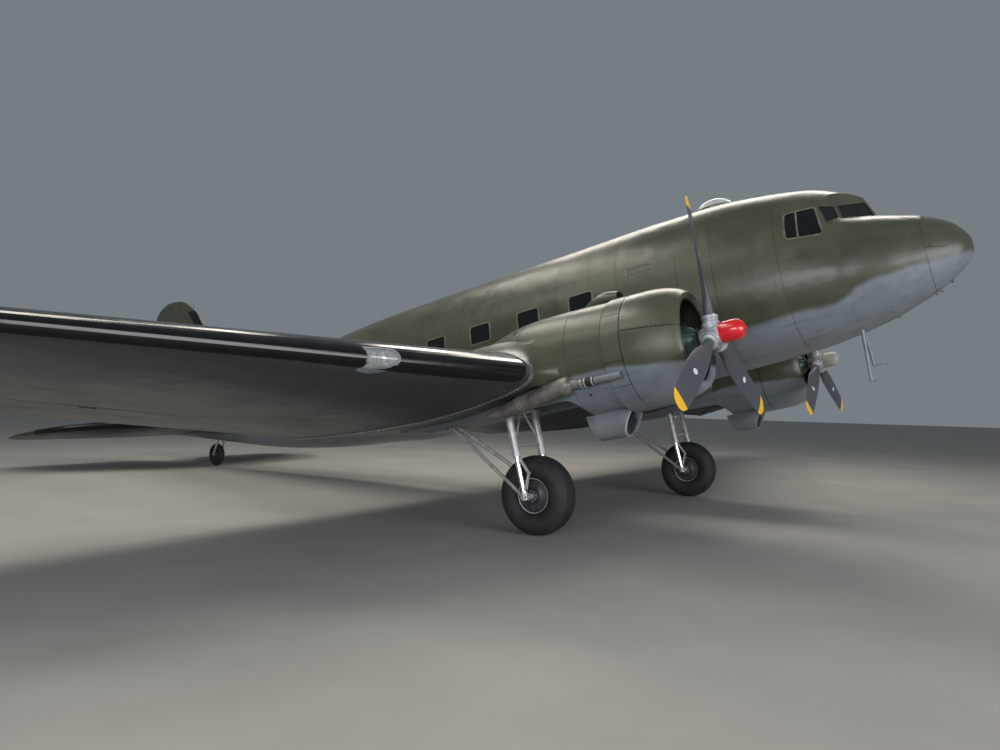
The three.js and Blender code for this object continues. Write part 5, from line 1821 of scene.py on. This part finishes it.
@dataclass
class TailWheel:
    """The swivelling tail wheel and its leg."""

    finishes: Finishes
    y: float = 11535
    radius: float = 280
    trail: float = 150
    crown: float = 612
    arm: float = 102

    def level(self, x: float, y: float, z: float) -> Vector:
        """Turns a place on the parked plane into flight axes.

        Args:
            x: distance to port.
            y: distance behind the main axle.
            z: height over the ground.

        Returns:
            The place in flight axes.
        """
        rise = z - 540
        return Vector((x, y * cos(LEAN) - rise * sin(LEAN), y * sin(LEAN) + rise * cos(LEAN)))

    def build(self) -> None:
        """Builds and dresses the tail gear."""
        pivot = self.y - self.trail
        leg = rod(self.level(0, pivot, self.crown), self.level(0, pivot, 800), 75, sides=40)
        leg = leg - barrel(eased(HULL, 110), -0.3)
        placed("tail_leg", leg, self.finishes.steel, "gear_steel", "tail_gear_leg")
        parts = [rod(self.level(0, pivot, self.crown - 37), self.level(0, pivot, self.crown - 0.3), 70,
            sides=40), rod(self.level(-self.arm, pivot, 594), self.level(self.arm, pivot, 594), 17),
            rod(self.level(-self.arm - 6, self.y, self.radius),
            self.level(self.arm + 6, self.y, self.radius), 20)]
        for sign in (-1, 1):
            x = sign * self.arm
            parts.append(rod(self.level(x, pivot, 594), self.level(x, self.y, self.radius), 21, sides=20))
        placed("tail_fork_arms", gathered(parts), self.finishes.steel, "gear_steel", "tail_fork",
            "tail_fork")
        axle = self.level(0, self.y, self.radius)
        tyre = [(121, -50), (134, -62), (160, -69), (200, -72), (232, -68), (258, -52), (273, -30), (280, 0)]
        profile = [*tyre, *[(r, -x) for r, x in reversed(tyre[:-1])]]
        placed("tail_tyre_rubber", turned(profile, "X", 72, axle, closed=True), self.finishes.tyre,
            "tyre_rubber", "tail_tyre", "tail_wheel")
        half = [(24, -60), (48, -60), (56, -46), (84, -34), (104, -42), (118, -50)]
        wheel = [*half, *[(r, -x) for r, x in reversed(half)]]
        placed("tail_wheel_disc", turned(wheel, "X", 56, axle, closed=True), self.finishes.wheel,
            "wheel_paint", "tail_wheel", "tail_wheel")


# Tail

STAB_Z = 2900
STAB_ROWS = ([-150, 10450, STAB_Z, 3150, 0.1], [-2600, 11170, STAB_Z, 2380, 0.09],
    [-3400, 11600, STAB_Z, 1930, 0.085], [-3850, 12100, STAB_Z, 1330, 0.08],
    [-4050, 12600, STAB_Z, 650, 0.07])


@dataclass
class Tail:
    """Fin, rudder, stabiliser and elevators."""

    finishes: Finishes
    rudder_hinge: float = 12560
    elevator_hinge: float = 12500

    def rudder_tool(self, gap: float) -> Solid:
        """Makes the rudder's room behind its hinge, with a round nose.

        Args:
            gap: room left round the rudder.

        Returns:
            The room.
        """
        bar = rod((0, self.rudder_hinge, 3300 - gap), (0, self.rudder_hinge, 6560 + gap), 102 + gap,
            66 + gap, 40)
        return block((-400, self.rudder_hinge - gap, 3300 - gap), (400, 14150, 7000)) + bar

    def blank(self, grow: float = 0) -> Solid:
        """Makes fin and rudder as one form through level sections.

        Args:
            grow: how far it lies outside them.

        Returns:
            The form.
        """
        edges = ((2960, 8900, 12000), (3120, 9000, 12900), (3330, 9080, 13650), (3450, 9110, 13760),
            (3800, 9900, 13890), (4450, 10600, 13945), (5250, 11250, 13860), (5800, 11600, 13793),
            (6150, 11900, 13724), (6400, 12250, 13480), (6500, 12560, 13245), (6538, 12900, 13060))
        rows = []
        for z, front, rear in eased(edges, 60):
            rows.append([-z, front, 0, rear - front, 0.062 if z < 4000 else 0.062 - (z - 4000) * 3e-6])
        form = winged(rows, grow, 0, 0, 72)
        return form.moved(Matrix.Rotation(pi / 2, 4, "Y"))

    def elevator_tool(self, gap: float) -> Solid:
        """Makes the starboard elevator's room behind its hinge.

        Args:
            gap: room left round the elevator.

        Returns:
            The room.
        """
        box = block((-3900 - gap, self.elevator_hinge - gap, 2600), (-330 + gap, 13950, 3600))
        return box + rod((-330 + gap, self.elevator_hinge, STAB_Z),
            (-3900 - gap, self.elevator_hinge, STAB_Z), 108 + gap, 76 + gap, 40)

    def build(self) -> None:
        """Builds and dresses the tail."""
        blank = self.blank()
        hull = eased(HULL, 110)
        low = block((-400, 8500, 3050), (400, self.rudder_hinge, 7000))
        fin = (blank & low) - self.rudder_tool(8) - barrel(hull, -0.3)
        placed("fin_skin", fin, self.finishes.fin, "olive_paint", "fin")
        rudder = (blank & self.rudder_tool(0)) - barrel(hull, -20)
        placed("rudder_fabric", rudder, self.finishes.fin, "olive_paint", "rudder", "rudder")
        rows = [[-r[0], *r[1:]] for r in eased([[-r[0], *r[1:]] for r in STAB_ROWS], 120)]
        form = winged(rows, 0, 0, 0)
        root = [160, *STAB_ROWS[0][1:]]
        carry = winged([root, [-160, *root[1:]]], 0, 0, 0)
        half = form - self.elevator_tool(8)
        whole = (half + half.on(Side.LEFT) + carry) - block((-700, 12400, 2500), (700, 14000, 3600))
        placed("stabiliser_skin", whole, self.finishes.wing, "grey_paint", "stabilizer")
        edge = (winged(rows, 4, 0, 0) - form - winged(rows, 12, 0, 0).shifted(95)) & block(
            (-3900, 10000, 2000), (-620, 12300, 4000))
        on_both("stabiliser_boot", edge, self.finishes.rubber_boot, "tyre_rubber")
        edge = (self.blank(4) - blank - self.blank(12).shifted(110)) & block((-400, 8500, 4150),
            (400, 12300, 6050))
        placed("fin_boot", edge - self.rudder_tool(8), self.finishes.rubber_boot, "tyre_rubber")
        post = rod((0, 11850, 6040), (0, 11805, 6230), 13, 9, 16)
        placed("fin_aerial_post", post - blank, self.finishes.frame, "olive_paint")
        notch = prism([(-300, 12400, 900), (-300, 12600, 900), (-1250, 13800, 900), (100, 13900, 900),
            (100, 12400, 900)], -4000, 4000)
        elevator = (form & self.elevator_tool(0)) - notch
        on_both("elevator_fabric", elevator, self.finishes.fabric, "grey_paint", "elevator", "elevator")


# Studio

@dataclass
class Studio:
    """Pale floor, soft light and the camera at the photograph's angle."""

    place: tuple[float, float, float] = (-11.3003, -10.1813, 1.7977)
    yaw: float = 0.9586
    pitch: float = 0.0365
    roll: float = 0.0214
    lens: float = 26.255

    def build(self) -> None:
        """Builds the floor, the lights and the camera."""
        form = bmesh.new()
        bmesh.ops.create_grid(form, x_segments=1, y_segments=1, size=90)
        mesh = bpy.data.meshes.new("studio_floor")
        form.to_mesh(mesh)
        form.free()
        mesh.materials.append(Coated("pale_floor", "#95928d", "#a19e98", (0.7, 0.85), scale=0.5).material)
        linked("studio_floor", mesh)
        self.build_light()
        self.build_camera()

    def build_light(self) -> None:
        """Builds a pale world and large soft lamps overhead."""
        world = bpy.data.worlds.new("soft_studio")
        world.use_nodes = True
        world.node_tree.nodes["Background"].inputs["Color"].default_value = linear("#bcc8d1")
        world.node_tree.nodes["Background"].inputs["Strength"].default_value = 0.36
        bpy.context.scene.world = world
        warm, cool = (1.0, 0.93, 0.82), (0.96, 0.98, 1.0)
        for name, place, aim, length, width, power, colour in (
                ("roof_light_near", (-13, 2, 13), (-6, -1, 2), 13, 2.2, 450, warm),
                ("roof_light_middle", (-3, 4, 15), (-2, 2, 3), 15, 2.4, 1000, warm),
                ("roof_light_far", (9, -2, 13.5), (0, -3, 3), 15, 2.6, 1300, warm),
                ("door_light_front", (-7, -24, 5), (-2, -4, 1.6), 16, 7, 2100, cool),
                ("door_light_side", (-20, -10, 4), (-3, -3, 0.6), 14, 5, 1500, cool)):
            lamp = bpy.data.lights.new(name, "AREA")
            lamp.shape = "RECTANGLE"
            lamp.size, lamp.size_y = length, width
            lamp.energy = power
            lamp.color = colour
            item = linked(name, lamp)
            item.location = place
            item.rotation_euler = (Vector(aim) - Vector(place)).to_track_quat("-Z", "Y").to_euler()

    def build_camera(self) -> None:
        """Builds the camera from its place, its three angles and its lens."""
        lens = bpy.data.cameras.new("camera")
        lens.lens = self.lens
        lens.sensor_width = 36
        lens.clip_end = 500
        camera = linked("camera", lens)
        turn = Matrix.Rotation(-self.yaw, 4, "Z") @ Matrix.Rotation(pi / 2 + self.pitch, 4, "X")
        camera.matrix_world = Matrix.Translation(self.place) @ turn @ Matrix.Rotation(self.roll, 4, "Z")
        bpy.context.scene.camera = camera


def main() -> None:
    """Builds every sub-assembly in order."""
    logging.basicConfig(level=logging.INFO, format="%(name)s: %(message)s")
    bpy.context.scene.view_settings.view_transform = "Standard"
    finishes = Finishes()
    Studio().build()
    Fuselage(finishes).build()
    wing = Wing(finishes)
    wing.build()
    for side in SIDES:
        PowerPlant(finishes, side, wing).build()
        MainGear(finishes, side).build()
    TailWheel(finishes).build()
    Tail(finishes).build()
    for node in ("cabin_floor", "flight_deck_bulkhead"):
        carried(node, finishes.interior)
    carried("instrument_panel", finishes.panel)
    carried("pilot_seat_left", finishes.seat)
    carried("pilot_seat_right", finishes.seat)


if __name__ == "__main__":
    main()
